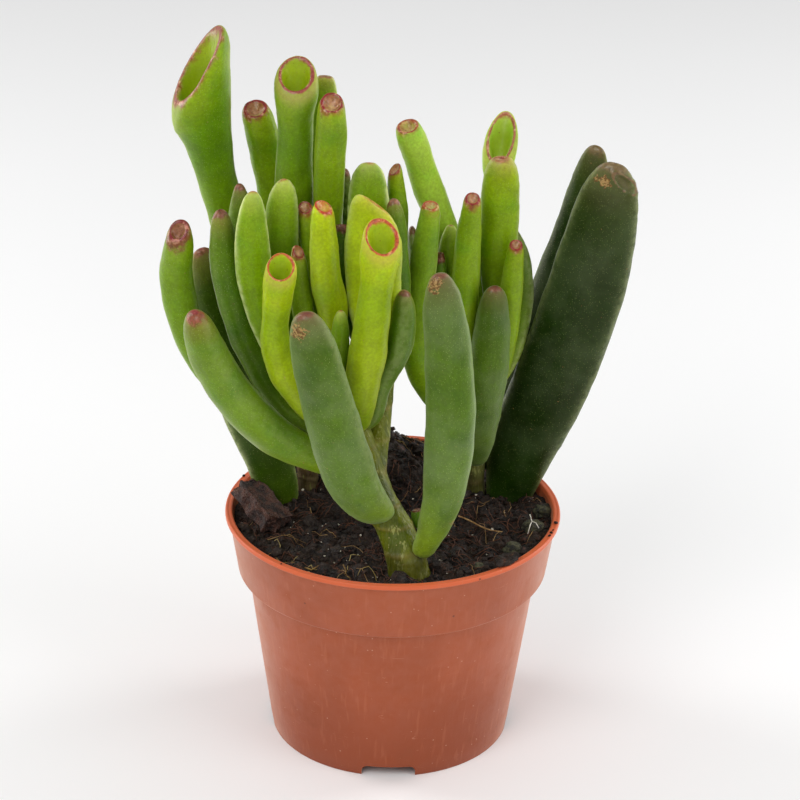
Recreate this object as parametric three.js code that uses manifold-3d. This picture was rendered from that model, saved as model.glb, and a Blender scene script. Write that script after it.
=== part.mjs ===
// A jade plant with finger and trumpet leaves in a round plastic nursery pot.
// Millimetres, +Z up, +Y to the back. The origin is the middle of the pot's foot, on the table.
import * as THREE from "three";
import Module from "manifold-3d";
import { mergeVertices } from "three/addons/utils/BufferGeometryUtils.js";

// Pot
const POT_HEIGHT = 61;
const RIM_RADIUS = 42.5;
const LIP_HEIGHT = 1.4;
const LIP_OVERHANG = 1;
const POT_WALL = 1.1;
const COLLAR_HEIGHT = 14.5;
const COLLAR_TAPER = 2.2;
const COLLAR_LEDGE = 2.6;
const LEDGE_HEIGHT = 1.2;
const FOOT_RADIUS = 30.6;
const FLOOR_RISE = 3.4;
const NOTCH_WIDTH = 13.5;
const NOTCH_HEIGHT = 2.9;
const NOTCHES = 4;
const DRAIN_HOLE_RADIUS = 3;
const DRAIN_HOLE_REACH = 0.62;
const POT_SIDES = 48;

// Soil, measured down from the rim
const SOIL_DROP = 2;
const MOUND_HEIGHT = 12.5;
const MOUND_SPREAD = 10;
const MOUND_CENTRE = [-3, 24];

// Plant, in the sizes that it is drawn at
const DRAWN_SOIL_RADIUS = 40.1;
const DRAWN_HEIGHT = 126;
const PLANT_HEIGHT = 126;
const ROOT_DEPTH = 13;
const STEM_SIDES = 10;
const LEAF_SIDES = 10;
const KNEE = 3;
const KNEE_OUT = 0.8;
const KNEE_UP = 0.6;
const TIP_CUT_DEPTH = 0.45;

// Loose bits on the soil: their sizes, where they lie and how they are turned, in radians
const BARK_CHIP = { length: 15.5, width: 9, thickness: 4.6, at: [-33.1, -3], above: 0.9 };
const BARK_TURN = { roll: -0.35, pitch: 0.34, heading: -0.83 };
const PEAT_FLAKE = { length: 8, width: 3.6, thickness: 1.3, at: [28, -29.2], heading: 0.72 };
const STRAW = { length: 13, radius: 0.45, at: [22, -8.5], above: 0.9, heading: -0.65 };

// What touches stays this far apart.
const CLEARANCE = 0.3;

const wasm = await Module();
wasm.setup();

const SOIL_LEVEL = POT_HEIGHT - SOIL_DROP;
const COLLAR_BOTTOM = POT_HEIGHT - LIP_HEIGHT - COLLAR_HEIGHT;
const COLLAR_TOP_RADIUS = RIM_RADIUS - LIP_OVERHANG;
const COLLAR_BOTTOM_RADIUS = COLLAR_TOP_RADIUS - COLLAR_TAPER;
const WALL_TOP_RADIUS = COLLAR_BOTTOM_RADIUS - COLLAR_LEDGE;
const SOIL_RADIUS = COLLAR_TOP_RADIUS - POT_WALL - CLEARANCE;
const SPREAD = SOIL_RADIUS / DRAWN_SOIL_RADIUS;
const GROWTH = PLANT_HEIGHT / DRAWN_HEIGHT;

const plantSpace = new THREE.Matrix4()
  .makeTranslation(0, 0, SOIL_LEVEL)
  .multiply(new THREE.Matrix4().makeScale(SPREAD, SPREAD, GROWTH));

function solidOf(geometry) {
  const bare = geometry.clone();
  bare.deleteAttribute("normal");
  bare.deleteAttribute("uv");
  const merged = mergeVertices(bare, 1e-3);
  const mesh = new wasm.Mesh({
    numProp: 3,
    vertProperties: new Float32Array(merged.attributes.position.array),
    triVerts: new Uint32Array(merged.index.array),
  });
  return new wasm.Manifold(mesh);
}

function geometryOf(solid) {
  const { vertProperties, triVerts } = solid.getMesh();
  const geometry = new THREE.BufferGeometry();
  geometry.setAttribute("position", new THREE.BufferAttribute(vertProperties, 3));
  geometry.setIndex(new THREE.BufferAttribute(triVerts, 1));
  geometry.computeVertexNormals();
  return geometry;
}

// A profile of [radius, height] pairs turned about +Z.
function turned(profile, sides) {
  const points = profile.map(([radius, height]) => new THREE.Vector2(radius, height));
  return new THREE.LatheGeometry(points, sides).rotateX(Math.PI / 2);
}

function smooth(low, high, value) {
  return THREE.MathUtils.smoothstep(value, low, high);
}

// --- Pot -------------------------------------------------------------------------------------

const outerWall = [
  [FOOT_RADIUS, 0],
  [WALL_TOP_RADIUS, COLLAR_BOTTOM - LEDGE_HEIGHT],
  [COLLAR_BOTTOM_RADIUS, COLLAR_BOTTOM],
  [COLLAR_TOP_RADIUS, POT_HEIGHT - LIP_HEIGHT],
  [RIM_RADIUS, POT_HEIGHT - LIP_HEIGHT],
];
const innerWall = [
  [COLLAR_TOP_RADIUS - POT_WALL, POT_HEIGHT - LIP_HEIGHT],
  [COLLAR_BOTTOM_RADIUS - POT_WALL, COLLAR_BOTTOM + POT_WALL],
  [WALL_TOP_RADIUS - POT_WALL, COLLAR_BOTTOM - LEDGE_HEIGHT],
];

// How far the inside of the wall is from the axis at a height below the collar.
function insideWall(height) {
  const share = height / (COLLAR_BOTTOM - LEDGE_HEIGHT);
  return THREE.MathUtils.lerp(FOOT_RADIUS, WALL_TOP_RADIUS, share) - POT_WALL;
}

function potGeometry() {
  const floorTop = FLOOR_RISE + POT_WALL;
  const lipRound = LIP_HEIGHT / 4;
  const profile = [
    ...outerWall,
    [RIM_RADIUS, POT_HEIGHT - lipRound],
    [RIM_RADIUS - lipRound, POT_HEIGHT],
    [COLLAR_TOP_RADIUS - POT_WALL + lipRound, POT_HEIGHT],
    ...innerWall,
    [insideWall(floorTop), floorTop],
    [0, floorTop],
  ];
  const hollow = [
    [0, -1],
    [insideWall(-1), -1],
    [insideWall(FLOOR_RISE), FLOOR_RISE],
    [0, FLOOR_RISE],
  ];
  let pot = solidOf(turned([[0, 0], ...profile], POT_SIDES)).subtract(solidOf(turned(hollow, POT_SIDES)));
  for (let i = 0; i < NOTCHES; i++) {
    const angle = (i * 2 * Math.PI) / NOTCHES - Math.PI / 2;
    pot = pot.subtract(solidOf(notchTool(angle)));
    const reach = FOOT_RADIUS * DRAIN_HOLE_REACH;
    pot = pot.subtract(solidOf(drainTool(reach * Math.cos(angle), reach * Math.sin(angle))));
  }
  return geometryOf(pot.subtract(solidOf(drainTool(0, 0))));
}

// A foot notch: a slot with rounded upper corners, open below.
function notchTool(angle) {
  const half = NOTCH_WIDTH / 2;
  const round = NOTCH_HEIGHT * 0.6;
  const outline = new THREE.Shape();
  outline.moveTo(-half, -1);
  outline.lineTo(half, -1);
  outline.lineTo(half, NOTCH_HEIGHT - round);
  outline.quadraticCurveTo(half, NOTCH_HEIGHT, half - round, NOTCH_HEIGHT);
  outline.lineTo(round - half, NOTCH_HEIGHT);
  outline.quadraticCurveTo(-half, NOTCH_HEIGHT, -half, NOTCH_HEIGHT - round);
  const depth = 10 * POT_WALL;
  const slot = new THREE.ExtrudeGeometry(outline, { depth, bevelEnabled: false, curveSegments: 3 });
  slot.rotateX(Math.PI / 2);
  slot.rotateZ(Math.PI / 2);
  slot.translate(FOOT_RADIUS - depth / 2, 0, 0);
  return slot.rotateZ(angle);
}

function drainTool(x, y) {
  const drill = new THREE.CylinderGeometry(DRAIN_HOLE_RADIUS, DRAIN_HOLE_RADIUS, 4 * POT_WALL, 12);
  return drill.rotateX(Math.PI / 2).translate(x, y, FLOOR_RISE + POT_WALL / 2);
}

// --- Stems -----------------------------------------------------------------------------------

// Each stem is drawn from its root end up, in mm from the middle of the soil's surface.
const STEMS = {
  trunk: {
    piece: "front_stem",
    radii: [4.6, 5.2, 4.4, 4.2, 3.7, 3.1, 2.4],
    points: [
      [4, -28, -ROOT_DEPTH], [4, -28, 0], [0.5, -25, 9], [-4, -23, 17], [-7.5, -20, 27], [-11, -17, 38],
      [-12, -15, 48],
    ],
  },
  leftBranch: {
    piece: "front_stem",
    radii: [3.2, 3, 2.8, 2.3],
    points: [[-7, -21, 24], [-13, -17, 31], [-18, -13, 38], [-22, -10, 49]],
  },
  rightBranch: {
    piece: "front_stem",
    radii: [3.2, 3, 2.8, 2.3],
    points: [[-5, -21, 21], [-4, -13, 29], [-3, -7, 41], [-3, -4, 54]],
  },
  woody: {
    piece: "back_stem",
    radii: [2.6, 2.6, 2.4, 2.6, 2.6, 2.3],
    points: [[-22, 15, -ROOT_DEPTH], [-22, 15, 0], [-23, 14, 12], [-25, 12, 30], [-27, 9, 47], [-26, 7, 62]],
  },
  right: {
    piece: "right_stem",
    radii: [2.6, 2.6, 2.5, 2.6, 2.6, 2.3],
    points: [[21, 17, -ROOT_DEPTH], [21, 17, 0], [21, 15, 12], [21, 13, 24], [21, 12, 37], [21, 11, 50]],
  },
};
for (const stem of Object.values(STEMS)) {
  stem.curve = new THREE.CatmullRomCurve3(stem.points.map((p) => new THREE.Vector3(...p)));
}

function stemRadius(stem, share) {
  const place = share * (stem.radii.length - 1);
  const low = Math.min(Math.floor(place), stem.radii.length - 2);
  return THREE.MathUtils.lerp(stem.radii[low], stem.radii[low + 1], place - low);
}

// Bends a unit profile, radius by length, along a curve. place gives each vertex's offset.
function bent(profile, sides, curve, face, place) {
  const geometry = new THREE.LatheGeometry(profile.map(([r, t]) => new THREE.Vector2(r, t)), sides);
  const position = geometry.attributes.position;
  const vertex = new THREE.Vector3();
  for (let i = 0; i < position.count; i++) {
    vertex.fromBufferAttribute(position, i);
    const share = THREE.MathUtils.clamp(vertex.y, 0, 1);
    const along = curve.getTangentAt(share);
    const side = along.clone().cross(face).normalize();
    const front = side.clone().cross(along);
    const offset = place(vertex.x, vertex.y, vertex.z);
    const at = curve.getPointAt(share);
    at.addScaledVector(side, offset.side);
    at.addScaledVector(front, offset.front);
    at.addScaledVector(along, offset.along);
    position.setXYZ(i, at.x, at.y, at.z);
  }
  return geometry;
}

function stemGeometry(stem, grow = 0) {
  const steps = 3 * (stem.points.length - 1);
  const profile = [[0, 0]];
  for (let i = 0; i <= steps; i++) profile.push([1, i / steps]);
  profile.push([0.5, 1.0001], [0, 1.0002]);
  const place = (x, y, z) => {
    const radius = stemRadius(stem, Math.min(y, 1)) + grow;
    const end = y > 1 ? radius * 0.5 : 0;
    return { side: x * radius, front: z * radius, along: end - (y <= 0 ? grow : 0) };
  };
  const geometry = bent(profile, STEM_SIDES, stem.curve, new THREE.Vector3(0, -1, 0.2), place);
  return geometry.applyMatrix4(plantSpace);
}

// --- Leaves ----------------------------------------------------------------------------------

// Leaf forms: radius share by length share, from the base's middle to the tip's.
const FORMS = {
  finger: [[0, 0], [0.4, 0.005], [0.58, 0.08], [0.78, 0.22], [0.94, 0.42], [1, 0.64], [0.98, 0.82],
    [0.88, 0.93], [0.68, 0.985], [0.48, 1], [0.28, 0.985], [0, 0.97]],
  stub: [[0, 0], [0.4, 0.005], [0.58, 0.08], [0.78, 0.22], [0.94, 0.42], [1, 0.64], [0.99, 0.82],
    [0.95, 0.93], [0.82, 0.985], [0.62, 1], [0.36, 0.985], [0, 0.972]],
  tapered: [[0, 0], [0.4, 0.005], [0.6, 0.08], [0.82, 0.22], [0.97, 0.4], [1, 0.58], [0.9, 0.78],
    [0.74, 0.91], [0.6, 0.98], [0.44, 1], [0.26, 0.99], [0, 0.98]],
  pointed: [[0, 0], [0.4, 0.005], [0.58, 0.08], [0.78, 0.22], [0.94, 0.4], [1, 0.6], [0.94, 0.78],
    [0.78, 0.89], [0.52, 0.96], [0.28, 0.99], [0, 1]],
  trumpet: [[0, 0], [0.36, 0.005], [0.58, 0.08], [0.82, 0.2], [0.92, 0.36], [0.9, 0.52], [0.82, 0.68],
    [0.82, 0.8], [0.94, 0.88], [1, 0.94], [0.93, 0.985], [0.76, 1], [0.62, 0.985], [0.48, 0.94],
    [0.3, 0.9], [0, 0.89]],
  horn: [[0, 0], [0.24, 0.005], [0.37, 0.08], [0.5, 0.22], [0.57, 0.4], [0.58, 0.58], [0.64, 0.72],
    [0.86, 0.85], [1, 0.93], [0.97, 0.985], [0.82, 1], [0.68, 0.985], [0.5, 0.92], [0.3, 0.87],
    [0, 0.86]],
  blade: [[0, 0], [0.36, 0.005], [0.54, 0.08], [0.74, 0.22], [0.9, 0.42], [1, 0.64], [0.98, 0.82],
    [0.88, 0.92], [0.7, 0.975], [0.42, 1], [0, 0.995]],
  domed: [[0, 0], [0.36, 0.005], [0.54, 0.08], [0.74, 0.22], [0.9, 0.42], [1, 0.64], [0.95, 0.8],
    [0.8, 0.91], [0.56, 0.97], [0.3, 0.995], [0, 1]],
  paddle: [[0, 0], [0.36, 0.005], [0.58, 0.06], [0.82, 0.18], [0.97, 0.34], [1, 0.54], [0.94, 0.74],
    [0.82, 0.87], [0.58, 0.955], [0.3, 0.992], [0, 1]],
  lobed: [[0, 0], [0.4, 0.005], [0.7, 0.05], [0.92, 0.14], [1, 0.28], [0.98, 0.5], [0.9, 0.72],
    [0.78, 0.87], [0.56, 0.955], [0.3, 0.992], [0, 1]],
};

// on: the stem that carries it, up: how far along that stem, from the root end
// size: width and thickness, look: the heading of its inner face, in degrees from +X
// cut: how steeply the tip slopes down to the inner face, and to the side
// path: the points that it passes on its way, the tip last
const LEAVES = [
  { name: "horn_leaf", on: "woody", up: 0.72, form: "horn", size: [15, 16.6], look: 200, cut: [1.18, 0],
    path: [[-36.8, 11, 58], [-44.2, 9, 86], [-48.3, 6, 116]] },
  { name: "finger_leaf_1", on: "woody", up: 0.9, form: "stub", size: [8, 7], look: 270, cut: [0.5, 0],
    path: [[-30, 15, 74], [-32, 15, 88], [-35, 13, 103]] },
  { name: "trumpet_leaf_1", on: "woody", up: 0.97, form: "trumpet", size: [10.5, 9], look: 270, cut: [0.95, 0],
    path: [[-25.5, 2, 74], [-25.2, 3, 92], [-24.6, 2, 115.4]] },
  { name: "blade_leaf_1", on: "woody", up: 0.97, form: "blade", size: [7, 4], look: 270, cut: [0, 0],
    path: [[-20.2, 12, 76], [-18.8, 14, 92], [-18.2, 15, 110.8]] },
  { name: "finger_leaf_2", on: "woody", up: 0.93, form: "stub", size: [7.6, 7], look: 270, cut: [0.6, 0],
    path: [[-17.5, 0.8, 73], [-16.6, -2.2, 90], [-15.9, -5.4, 111.2]] },
  { name: "pointed_leaf_1", on: "woody", up: 0.66, form: "pointed", size: [7, 6], look: 300, cut: [0, 0],
    path: [[-35, 0, 60], [-37.5, -3, 74], [-38, -4, 90]] },
  { name: "finger_leaf_3", on: "leftBranch", up: 0.45, form: "pointed", size: [8.5, 7], look: 300, cut: [0, 0],
    path: [[-30, -13, 40], [-36, -13, 54], [-40, -14, 68], [-42, -14, 87]] },
  { name: "blade_leaf_2", on: "leftBranch", up: 0.62, form: "pointed", size: [9, 5.5], look: 280, cut: [0, 0],
    path: [[-24, -17, 44], [-30, -18, 58], [-34, -18, 74], [-34, -17, 93]] },
  { name: "blade_leaf_3", on: "leftBranch", up: 0.9, form: "pointed", size: [9, 6], look: 270, cut: [0, 0],
    path: [[-25, -7, 58], [-28, -8, 70], [-27, -9, 93]] },
  { name: "finger_leaf_4", on: "leftBranch", up: 0.22, form: "finger", size: [8.5, 7.5], look: 250, cut: [0.9, 0],
    path: [[-24, -14, 28], [-35, -12, 34], [-45, -12, 44], [-52.3, -12, 62], [-51.8, -15, 82]] },
  { name: "finger_leaf_5", on: "leftBranch", up: 0.97, form: "finger", size: [5.5, 5], look: 270, cut: [0.8, 0],
    path: [[-19, -6.4, 58], [-20.2, -5.6, 72], [-22.2, -6.5, 85]] },
  { name: "finger_leaf_6", on: "leftBranch", up: 0.8, form: "tapered", size: [5.4, 5], look: 300, cut: [1, 0],
    path: [[-20.3, -14, 50], [-22.4, -15, 62], [-23.4, -15, 77]] },
  { name: "trumpet_leaf_2", on: "leftBranch", up: 0.35, form: "trumpet", size: [8, 7], look: 270, cut: [0.8, 0],
    path: [[-21, -22, 40], [-28, -24, 54], [-27, -28, 78.4]] },
  { name: "finger_leaf_7", on: "trunk", up: 0.97, form: "tapered", size: [9, 7], look: 320, cut: [0.8, 0],
    path: [[-14.6, -14.5, 58], [-17, -16.7, 72], [-17.5, -16.2, 89]] },
  { name: "finger_leaf_8", on: "trunk", up: 0.86, form: "pointed", size: [4.6, 4.2], look: 270, cut: [0, 0],
    path: [[-13.2, -22, 46], [-13.3, -22, 54], [-13, -22, 65]] },
  { name: "trumpet_leaf_3", on: "trunk", up: 0.78, form: "trumpet", size: [10, 8.5], look: 290, cut: [0.95, 0],
    path: [[-8, -24, 42], [-6, -26, 60], [-3.5, -27, 85.8]] },
  { name: "finger_leaf_9", on: "trunk", up: 0.77, form: "pointed", size: [9, 6.6], look: 180, cut: [0, 0],
    path: [[-3.4, -18.2, 44.5], [1, -18.8, 54], [2, -18.4, 69]] },
  { name: "paddle_leaf_1", on: "trunk", up: 0.44, form: "lobed", size: [14, 9], look: 80, cut: [0, 0],
    path: [[-9, -34, 24], [-15, -35, 44], [-21, -38, 71]] },
  { name: "paddle_leaf_2", on: "trunk", up: 0.62, form: "paddle", size: [13, 10], look: 40, cut: [0, 0],
    path: [[-20.5, -24, 28], [-33, -25.5, 37], [-43, -28, 53], [-47, -32, 68]] },
  { name: "paddle_leaf_3", on: "trunk", up: 0.25, form: "paddle", size: [12, 9], look: 100, cut: [0, 0],
    path: [[11.5, -32, 18], [13.5, -32, 44], [10, -34, 80]] },
  { name: "bud_leaf_1", on: "trunk", up: 0.26, form: "finger", size: [3.2, 2.8], look: 100, cut: [0, 0],
    path: [[6.6, -22.7, 9.2], [5.8, -22.3, 12.6]] },
  { name: "blade_leaf_4", on: "rightBranch", up: 0.9, form: "blade", size: [8, 3.5], look: 200, cut: [0, 0],
    path: [[-12.5, 6, 60], [-13.5, 7, 74], [-13, 6, 90]] },
  { name: "blade_leaf_5", on: "rightBranch", up: 0.95, form: "domed", size: [10.5, 5], look: 270, cut: [0, 0],
    path: [[-6.5, -2, 62], [-7, -1, 78], [-7, 0, 94.2]] },
  { name: "blade_leaf_6", on: "rightBranch", up: 0.7, form: "blade", size: [14, 5], look: 275, cut: [0, 0.7],
    path: [[-3.7, -13, 50], [-5.6, -12.8, 68], [-5.1, -11.8, 88]] },
  { name: "pointed_leaf_2", on: "rightBranch", up: 0.85, form: "pointed", size: [6, 5.5], look: 270, cut: [0, 0],
    path: [[1, -8, 58], [0, -7, 72], [-1, -5, 87]] },
  { name: "finger_leaf_10", on: "rightBranch", up: 0.97, form: "tapered", size: [6.6, 5.5], look: 210, cut: [0.9, 0],
    path: [[-1, 2, 62], [0, 5, 76], [-1, 5, 91]] },
  { name: "finger_leaf_11", on: "rightBranch", up: 0.8, form: "finger", size: [6, 5], look: 270, cut: [0, 0],
    path: [[-10, -8, 56], [-14, -9, 66], [-13, -8, 81]] },
  { name: "blade_leaf_7", on: "right", up: 0.78, form: "pointed", size: [7, 4], look: 180, cut: [0, 0],
    path: [[13, 13, 44], [6, 12, 58], [3.5, 10, 74]] },
  { name: "finger_leaf_12", on: "right", up: 0.92, form: "stub", size: [7.4, 7], look: 270, cut: [0.2, 0],
    path: [[14, 13.5, 64], [8, 12, 82], [2, 8, 101]] },
  { name: "trumpet_leaf_4", on: "right", up: 0.97, form: "trumpet", size: [8.5, 8], look: 255, cut: [1.8, 0],
    path: [[22, 16.5, 64], [24, 17.5, 80], [25, 16, 95.4]] },
  { name: "blade_leaf_8", on: "right", up: 0.9, form: "blade", size: [9.5, 6.5], look: 270, cut: [0.2, 0],
    path: [[25, 9.5, 58], [25, 8.5, 76], [25, 8, 93]] },
  { name: "finger_leaf_13", on: "right", up: 0.82, form: "tapered", size: [7, 6.2], look: 270, cut: [0.6, 0],
    path: [[17, 2, 52], [17, 1, 68], [18, -1, 86]] },
  { name: "finger_leaf_14", on: "right", up: 0.55, form: "tapered", size: [7.4, 6], look: 270, cut: [0.4, 0],
    path: [[12, 7, 28], [6, 2, 36], [5, 0, 50], [8, -1, 84]] },
  { name: "blade_leaf_9", on: "right", up: 0.86, form: "pointed", size: [6, 3.5], look: 270, cut: [0, 0],
    path: [[14, 8, 50], [13, 7, 62], [13, 7, 76]] },
  { name: "bud_leaf_2", on: "right", up: 0.72, form: "finger", size: [3, 3], look: 270, cut: [0, 0],
    path: [[14, 4, 44], [11.5, 3, 56], [10.5, 3, 70]] },
  { name: "finger_leaf_15", on: "right", up: 0.7, form: "tapered", size: [6, 5], look: 270, cut: [0.6, 0],
    path: [[27, 6, 44], [28, 4.5, 56], [29, 2, 73]] },
  { name: "blade_leaf_10", on: "right", up: 0.7, form: "pointed", size: [10, 6], look: 230, cut: [0, 0],
    path: [[29, 15, 42], [30, 19, 56], [27.5, 19, 72]] },
  { name: "paddle_leaf_4", on: "right", up: 0.38, form: "paddle", size: [10, 8], look: 100, cut: [0, 0],
    path: [[21.5, 6, 20], [23, 1, 38], [24, -3, 64]] },
  { name: "paddle_leaf_5", on: "right", up: 0.3, form: "paddle", size: [13, 6], look: 250, cut: [0, 0],
    path: [[30, 22.5, 18], [37, 24, 42], [45, 22, 68], [49, 18, 93]] },
  { name: "paddle_leaf_6", on: "soil", form: "paddle", size: [20, 8.5], look: 265, cut: [0, 0],
    path: [[29.2, 14.8, -9], [31.9, 14.3, 10], [39.8, 12, 32], [47.8, 9, 62], [52.7, 6, 93]] },
  { name: "paddle_leaf_7", on: "soil", form: "lobed", size: [12.5, 7.5], look: 280, cut: [0, 0],
    path: [[-29, 9, -9], [-31, 9, 8], [-40, 9, 30], [-48, 4, 70]] },
];

// The direction that a leaf's inner face looks in, tipped up a little.
function leafFace(leaf) {
  const heading = THREE.MathUtils.degToRad(leaf.look);
  return new THREE.Vector3(Math.cos(heading), Math.sin(heading), 0.5);
}

// The leaf's line, from its seat on the stem out over a knee and up to its tip.
function leafCurve(leaf, form) {
  const path = leaf.path.map((p) => new THREE.Vector3(...p));
  if (leaf.on !== "soil") {
    const stem = STEMS[leaf.on];
    const axis = stem.curve.getPointAt(leaf.up);
    const rise = stem.curve.getTangentAt(leaf.up);
    const outward = path[0].clone().sub(axis);
    outward.addScaledVector(rise, -outward.dot(rise)).normalize();
    const start = outward.clone().multiplyScalar(KNEE_OUT).addScaledVector(rise, KNEE_UP);
    const side = start.clone().cross(leafFace(leaf)).normalize();
    const front = side.clone().cross(start);
    const [halfWidth, halfThickness] = leaf.size.map((size) => (form[1][0] * size) / 2);
    const back = Math.hypot(halfWidth * side.dot(outward), halfThickness * front.dot(outward));
    const flat = stemRadius(stem, leaf.up) * Math.cos(Math.PI / STEM_SIDES);
    const seat = axis.addScaledVector(outward, flat + CLEARANCE + back);
    path.unshift(seat, seat.clone().addScaledVector(start, KNEE));
  }
  return new THREE.CatmullRomCurve3(path);
}

function leafGeometry(leaf, grow = 0) {
  const form = FORMS[leaf.form];
  const [width, thickness] = leaf.size;
  const [slope, slant] = leaf.cut;
  const place = (x, y, z) => {
    const side = x * (width / 2 + grow);
    const front = z * (thickness / 2 + grow);
    const back = Math.min(-front, TIP_CUT_DEPTH * thickness);
    const lift = smooth(0.6, 1, y) * (slope * back - slant * side);
    return { side, front, along: lift - (y <= 0.005 ? grow : 0) };
  };
  return bent(form, LEAF_SIDES, leafCurve(leaf, form), leafFace(leaf), place).applyMatrix4(plantSpace);
}

// --- Soil ------------------------------------------------------------------------------------

// The lumpy surface: nearly level, heaped up towards the back, falling to the pot's wall.
function soilHeight(x, y) {
  const away = Math.hypot(x - MOUND_CENTRE[0], y - MOUND_CENTRE[1]) / MOUND_SPREAD;
  const heap = MOUND_HEIGHT * Math.exp(-(away ** 2) / 2);
  const edge = 1 - smooth(0.8, 1, Math.hypot(x, y) / SOIL_RADIUS);
  const lumps = 0.5 * Math.sin(0.42 * x + 1) * Math.cos(0.37 * y) + 0.35 * Math.sin(0.8 * x + 0.6 * y);
  return heap * edge + lumps;
}

function soilGeometry(rooted) {
  const rings = [0.97, 0.88, 0.77, 0.66, 0.55, 0.44, 0.33, 0.22, 0.11];
  const bottom = FLOOR_RISE + POT_WALL + CLEARANCE;
  const profile = [
    [0, bottom],
    [insideWall(bottom) - CLEARANCE, bottom],
    [insideWall(COLLAR_BOTTOM - LEDGE_HEIGHT) - CLEARANCE, COLLAR_BOTTOM - LEDGE_HEIGHT],
    [COLLAR_BOTTOM_RADIUS - POT_WALL - CLEARANCE, COLLAR_BOTTOM + POT_WALL + CLEARANCE],
    [SOIL_RADIUS - SOIL_DROP * 0.2, SOIL_LEVEL - 1],
    ...rings.map((share) => [SOIL_RADIUS * share, SOIL_LEVEL]),
    [0, SOIL_LEVEL],
  ];
  const heap = turned(profile, POT_SIDES);
  const position = heap.attributes.position;
  for (let i = 0; i < position.count; i++) {
    if (position.getZ(i) < SOIL_LEVEL - 0.5) continue;
    position.setZ(i, SOIL_LEVEL + soilHeight(position.getX(i), position.getY(i)));
  }
  return geometryOf(rooted.reduce((soil, tool) => soil.subtract(solidOf(tool)), solidOf(heap)));
}

// --- The object ------------------------------------------------------------------------------

// A chip of bark with a ragged end, a flake of peat and a bit of straw. grow swells them evenly.
function chipGeometry(grow = 0) {
  const { length, width, thickness, at, above } = BARK_CHIP;
  const { roll, pitch, heading } = BARK_TURN;
  const outline = new THREE.Shape();
  outline.moveTo(-length / 2 - grow, -width * 0.36 - grow);
  outline.lineTo(length * 0.42 + grow, -width / 2 - grow);
  outline.lineTo(length / 2 + grow, -width * 0.1);
  outline.lineTo(length * 0.44 + grow, width * 0.44 + grow);
  outline.lineTo(-length * 0.4 - grow, width / 2 + grow);
  outline.lineTo(-length * 0.46 - grow, width * 0.2);
  outline.lineTo(-length / 2 - grow, 0);
  const depth = thickness + 2 * grow;
  const chip = new THREE.ExtrudeGeometry(outline, { depth, bevelEnabled: false });
  chip.translate(0, 0, -depth / 2);
  chip.rotateX(roll).rotateY(pitch).rotateZ(heading);
  return chip.translate(at[0] * SPREAD, at[1] * SPREAD, POT_HEIGHT + above);
}

function flakeGeometry() {
  const { length, width, thickness, at, heading } = PEAT_FLAKE;
  const outline = new THREE.Shape();
  outline.moveTo(-length / 2, -width * 0.2);
  outline.lineTo(-length * 0.2, -width / 2);
  outline.lineTo(length * 0.35, -width * 0.4);
  outline.lineTo(length / 2, width * 0.1);
  outline.lineTo(length * 0.1, width / 2);
  outline.lineTo(-length * 0.35, width * 0.4);
  const flake = new THREE.ExtrudeGeometry(outline, { depth: thickness, bevelEnabled: false });
  return flake.rotateZ(heading).translate(at[0] * SPREAD, at[1] * SPREAD, POT_HEIGHT + CLEARANCE);
}

function strawGeometry(grow = 0) {
  const { length, radius, at, above, heading } = STRAW;
  const straw = new THREE.CylinderGeometry(radius + grow, radius + grow, length + 2 * grow, 6);
  straw.rotateZ(Math.PI / 2 + heading);
  return straw.translate(at[0] * SPREAD, at[1] * SPREAD, SOIL_LEVEL + above);
}

const plant = new THREE.Group();

function add(name, geometry, color, roughness) {
  const mesh = new THREE.Mesh(geometry, new THREE.MeshStandardMaterial({ color, roughness, metalness: 0 }));
  mesh.name = name;
  plant.add(mesh);
}

const rooted = [chipGeometry(CLEARANCE), strawGeometry(CLEARANCE)];
for (const stem of [STEMS.trunk, STEMS.woody, STEMS.right]) rooted.push(stemGeometry(stem, CLEARANCE));
for (const leaf of LEAVES) {
  if (leaf.on === "soil") rooted.push(leafGeometry(leaf, CLEARANCE));
}

add("nursery_pot", potGeometry(), "#a95f42", 0.45);
add("potting_soil", soilGeometry(rooted), "#2b1d16", 0.95);
for (const piece of new Set(Object.values(STEMS).map((stem) => stem.piece))) {
  const tubes = Object.values(STEMS).filter((stem) => stem.piece === piece);
  const solid = tubes.map((stem) => solidOf(stemGeometry(stem))).reduce((all, tube) => all.add(tube));
  add(piece, geometryOf(solid), piece === "back_stem" ? "#7b5a3c" : "#6d7a2c", 0.6);
}
add("bark_chip", chipGeometry(), "#6b4a39", 0.9);
add("peat_flake", flakeGeometry(), "#2a1a14", 0.95);
add("straw_bit", strawGeometry(), "#b98f52", 0.7);
for (const leaf of LEAVES) add(leaf.name, leafGeometry(leaf), "#6f9a24", 0.4);

export default plant;
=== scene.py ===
import math
import random

import bmesh
import bpy
from mathutils import Matrix, Vector, noise


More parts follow.
